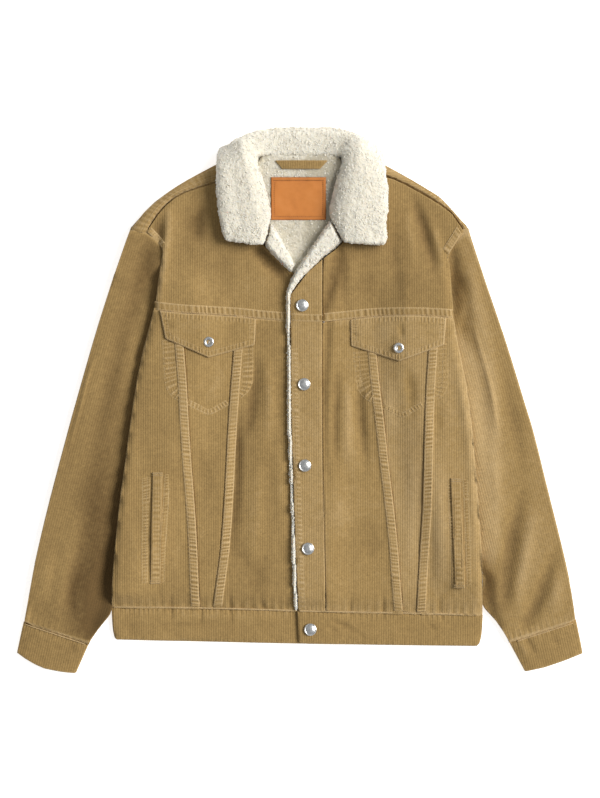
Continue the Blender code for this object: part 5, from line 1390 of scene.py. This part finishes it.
def fleece(name, node_name, seed, shade, lean, table, drawn, pressed):
    """Sherpa on its solid's form: a rounded wall with lumps of pile all over what shows."""
    form = Form(node_name, step=PILE_FORM_STEP)
    x, y, quads, rim = pile_grid(form)
    x, y = drawn_out(x, y, *drawn)
    edge = np.unique(rim)
    inward = np.full(len(x), FAR)
    for point in edge:
        inward = np.minimum(inward, (x - x[point]) ** 2 + (y - y[point]) ** 2)
    upper, under = form.top(x, y), form.bottom(x, y)
    depth = PILE_SHARE * np.maximum(upper - under, 1.0)
    upper = upper + folds(x, y, table) - depth * rolled(np.sqrt(inward), PILE_ROLL, 1.0)
    if pressed:
        low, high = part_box(pressed)
        within = np.minimum(np.minimum(x - 1000 * low[0], 1000 * high[0] - x),
                            np.minimum(y - 1000 * low[1], 1000 * high[1] - y))
        upper = upper - PRESSED_IN * np.clip((within + 0.5) / 3.0, 0, 1)
    points, faces = [np.column_stack([x, y, upper])], [quads]
    a, b = np.searchsorted(edge, rim).T
    above, start = edge, len(x)
    for level in range(1, PILE_SIDES + 1):
        share = level / (PILE_SIDES + 1)
        height = upper[edge] * (1 - share) + under[edge] * share
        points.append(np.column_stack([x[edge], y[edge], height]))
        below = start + np.arange(len(edge))
        faces.append(np.stack([above[a], below[a], below[b], above[b]], 1))
        above, start = below, start + len(edge)
    points.append(np.column_stack([x, y, under]))
    faces.append(np.stack([above[a], start + edge[a], start + edge[b], above[b]], 1))
    points, pile_faces = np.concatenate(points), np.concatenate(faces)
    corner = points[pile_faces]
    normal = np.cross(corner[:, 2] - corner[:, 0], corner[:, 3] - corner[:, 1])
    normals = np.zeros_like(points)
    for k in range(4):
        np.add.at(normals, pile_faces[:, k], normal)
    normals /= np.maximum(np.linalg.norm(normals, axis=1), 1e-9)[:, None]
    lump = curls(points, CURL, seed) + SMALL_LUMPS * curls(points, 0.5 * CURL, seed + 1)
    lift = CURL_HEIGHT * (lump - LUMP_MIDDLE)
    lift[start:] = 0  # the knitted back is plain
    points = points + normals * lift[:, None]
    points[:, 2] = np.maximum(points[:, 2], PILE_LOWEST)
    # the tone is painted shade: darker down between the lumps, greyer all over by shade, and greyer still to
    # the right by lean
    tone = PILE_TONE + LUMP_TONE * lump - shade
    tone = tone - lean * np.clip((points[:, 0] - LEAN_START) / LEAN_RUN, 0, 1)
    slots = [0] * len(pile_faces) + [1] * len(quads)
    every = np.concatenate([pile_faces, (start + quads)[:, ::-1]]).tolist()
    piece = finish_mesh(name, points, every, (sherpa, corduroy), slots, points[:, :2] / RIB, tone)
    sewn(piece, node_name)
    return piece


def curl_tree():
    """Geometry Nodes: small bent curls of yarn strewn over the pile."""
    tree, given = yarn_tree("sherpa_curls", "Pile",
                            ("Curls a square metre", "Curl length", "Yarn thickness"), "Yarn", "Curls")
    facing = node(tree, "ShaderNodeSeparateXYZ", {0: node(tree, "GeometryNodeInputNormal").outputs[0]})
    upward = node(tree, "FunctionNodeCompare", {0: facing.outputs[2], 1: -0.2}, operation="GREATER_THAN")
    strewn = node(tree, "GeometryNodeDistributePointsOnFaces", {
        "Mesh": given["Pile"], "Selection": upward.outputs[0],
        "Density": given["Curls a square metre"], "Seed": given["Seed"]})

    def share(of_length):
        return math_node(tree, "MULTIPLY", given["Curl length"], of_length)

    bend = ({2: share(-0.2)}, {0: share(0.6), 2: share(0.5)},
            {0: share(0.75), 1: share(0.45), 2: share(-0.15)})
    curl = bent_yarn(tree, bend, given["Yarn thickness"])
    spin = node(tree, "FunctionNodeRandomValue", {
        0: (0, 0, -3.1416), 1: (0.5, 0.5, 3.1416), "Seed": given["Seed"]}, data_type="FLOAT_VECTOR")
    turn = node(tree, "FunctionNodeEulerToRotation", {0: spin.outputs[0]})
    turned = node(tree, "FunctionNodeRotateRotation", {0: strewn.outputs["Rotation"], 1: turn.outputs[0]},
                  rotation_space="LOCAL")
    set_out(tree, given, strewn.outputs[0], curl, turned.outputs[0], (0.7, 1.25), "Yarn")
    return tree


sherpa_curls = curl_tree()
yarn = thread_material("sherpa_yarn", (0.80, 0.765, 0.67), (0.71, 0.67, 0.57))
CURL_LENGTH, YARN_THICKNESS = 0.0026, 0.0015  # m
FLEECE_PIECES = (
    # its solid, seed, curls a square metre, how much painted shade greys it (below none it is made paler),
    # how much more painted shade greys it to the right, the folds that lift it, how far its lower and upper
    # ends are drawn out, what presses on it
    ("neck_lining", 201, 30000.0, 0.30, 0.90, (), (0.0, 7.0), "neck_patch"),
    ("facing_right", 211, 60000.0, -0.20, 0.0, (), (0.0, 0.0), None),
    ("facing_left", 221, 60000.0, -0.20, 0.0, (), (0.0, 0.0), None),
    ("collar", 231, 60000.0, 0.0, 0.0, COLLAR_LIFT, (4.0, 0.0), None),
)
for k, (node_name, seed, density, *look) in enumerate(FLEECE_PIECES):
    name = node_name + "_pile"
    piece = fleece(name, node_name, seed, *look)
    grown(name + "_curls", piece, sherpa_curls, {
        "Curls a square metre": density, "Curl length": CURL_LENGTH, "Yarn thickness": YARN_THICKNESS,
        "Seed": 7 + k, "Yarn": yarn})

# ---------------------------------------------------------------------------
# The hanger loop and the neck patch
# The loop is a short doubled strip of corduroy, sewn in under the collar. The
# patch is plain thick leather, sewn on with dark thread close to its edge.
# ---------------------------------------------------------------------------
dress("hanger_loop", rows=1.2, inner=corduroy, roll=1.4, drop=1.2, step=2.0, wear_and_shading=0.45, slack=0.0)
PATCH_MARGIN = 4.2  # from the patch's edge to its row of stitches
PATCH_STITCH = 2.6
PATCH_SIDE_POINTS = 24


def leather_material():
    """Thick tanned leather: warm orange brown, darker at its cut edges, with a fine grain."""
    material, tree, shader = cloth_nodes("patch_leather", 0.55, 0.0, (1, 1, 1))
    shader.inputs["Specular IOR Level"].default_value = 0.4
    place = node(tree, "ShaderNodeTexCoord").outputs["Object"]
    grain = node(tree, "ShaderNodeTexVoronoi", {"Vector": place, "Scale": 900.0}).outputs["Distance"]
    tone = worn_and_shaded_tone(tree, (cloud(tree, 60.0, 4.0), 0.5))
    colour = toned(tree, tone, (0.30, 0.085, 0.015), (0.58, 0.205, 0.042), (0.72, 0.30, 0.09))
    surfaced(tree, shader, colour, grain, 0.3, 0.0003)
    return material


form = Form("neck_patch", step=2.5)
panel = Panel(form, rows=1.2, steps=3)
from_row = panel.edge - PATCH_MARGIN
height = form.top(panel.x, panel.y) - rolled(panel.edge, 1.2, 0.9)
height -= 0.35 * np.exp(-(from_row / 0.6) ** 2)
height += 0.15 * noise(panel.x, panel.y, 9, 91)
tone = PLAIN_TONE - 0.26 * np.exp(-panel.edge / 1.6) - 0.10 * np.exp(-(from_row / 0.8) ** 2)
piece = wall("neck_patch", panel, height, form.bottom(panel.x, panel.y), tone, (leather_material(),))
sewn(piece, "neck_patch")
x0, x1 = panel.x.min() + PATCH_MARGIN, panel.x.max() - PATCH_MARGIN
y0, y1 = panel.y.min() + PATCH_MARGIN, panel.y.max() - PATCH_MARGIN
corners = np.array([(x0, y0), (x1, y0), (x1, y1), (x0, y1), (x0, y0)])
share = np.linspace(0, 1, PATCH_SIDE_POINTS)[:, None]
frame_rows = []
for a, b in zip(corners, corners[1:]):
    row = a + share * (b - a)
    frame_rows.append(np.column_stack([row, form.top(row[:, 0], row[:, 1]) - 0.1]))
dark_thread = thread_material("dark_thread", (0.20, 0.075, 0.02), (0.10, 0.035, 0.01))
sew("patch_stitches", frame_rows, 6, pitch=PATCH_STITCH, length=1.9, thread=0.55, cotton=dark_thread)

# ---------------------------------------------------------------------------
# The buttons
# Nickelled shank buttons, stamped and riveted through the cloth: five large ones
# down the front, domed inside a rim, and a smaller open one on each flap.
# ---------------------------------------------------------------------------
BUTTON_SIDES = 40
PLACKET_PROFILE = (
    # radius and height, from the cloth outwards and up to the middle
    (0.0, 0.0), (7.4, 0.0), (8.1, 0.3), (8.4, 0.9), (8.4, 1.5), (8.1, 2.05), (7.6, 2.3), (7.1, 2.25),
    (6.7, 1.9), (6.3, 1.95), (5.2, 2.6), (3.9, 3.05), (2.4, 3.3), (1.0, 3.42), (0.0, 3.45),
)
FLAP_PROFILE = (
    (0.0, 0.0), (6.6, 0.0), (7.2, 0.3), (7.5, 0.9), (7.5, 1.6), (7.1, 2.5), (6.3, 3.1), (5.3, 3.3),
    (4.2, 2.9), (3.3, 1.9), (2.7, 0.9), (2.0, 0.6), (1.2, 0.6), (0.7, 0.8), (0.3, 0.9), (0.0, 0.9),
)


def nickel_material():
    """Brushed nickel plate, slightly tarnished in patches."""
    material, tree, shader = cloth_nodes("button_metal", 0.3, 0.0, (1, 1, 1))
    shader.inputs["Metallic"].default_value = 1.0
    tarnish = cloud(tree, 500.0, 4.0)
    ramp = node(tree, "ShaderNodeValToRGB", {"Fac": tarnish})
    for stop, position, colour in zip(ramp.color_ramp.elements, (0.3, 0.7),
                                      ((0.62, 0.62, 0.60, 1), (0.86, 0.86, 0.85, 1))):
        stop.position = position
        stop.color = colour
    rough = node(tree, "ShaderNodeMapRange", {"Value": tarnish, "To Min": 0.22, "To Max": 0.42})
    tree.links.new(rough.outputs[0], shader.inputs["Roughness"])
    surfaced(tree, shader, ramp.outputs["Color"], tarnish, 0.12, 0.0002)
    return material


nickel = nickel_material()


def button(node_name, profile):
    """A button turned from its profile, seated where its solid is."""
    low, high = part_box(node_name)
    x, y, z = (low[0] + high[0]) * 500, (low[1] + high[1]) * 500, low[2] * 1000
    scale = (high[0] - low[0]) * 500 / max(radius for radius, _ in profile)
    rings = profile[1:-1]
    points = [(x, y, z)]
    for radius, height in rings:
        for k in range(BUTTON_SIDES):
            turn = 2 * math.pi * k / BUTTON_SIDES
            across, along = scale * radius * math.cos(turn), scale * radius * math.sin(turn)
            points.append((x + across, y + along, z + height))
    points.append((x, y, z + profile[-1][1]))
    faces = []
    last = len(points) - 1
    top = last - BUTTON_SIDES
    for k in range(BUTTON_SIDES):
        after = (k + 1) % BUTTON_SIDES
        faces.append((0, 1 + after, 1 + k))
        for a in range(1, top, BUTTON_SIDES):
            b = a + BUTTON_SIDES
            faces.append((a + k, a + after, b + after, b + k))
        faces.append((top + k, top + after, last))
    piece = finish_mesh(node_name + "_shell", points, faces, (nickel,), [0] * len(faces),
                        np.array(points)[:, :2], np.zeros(len(points)))
    sewn(piece, node_name)


for k in range(1, 6):
    button(f"placket_button_{k}", PLACKET_PROFILE)
for side in ("right", "left"):
    button("flap_button_" + side, FLAP_PROFILE)
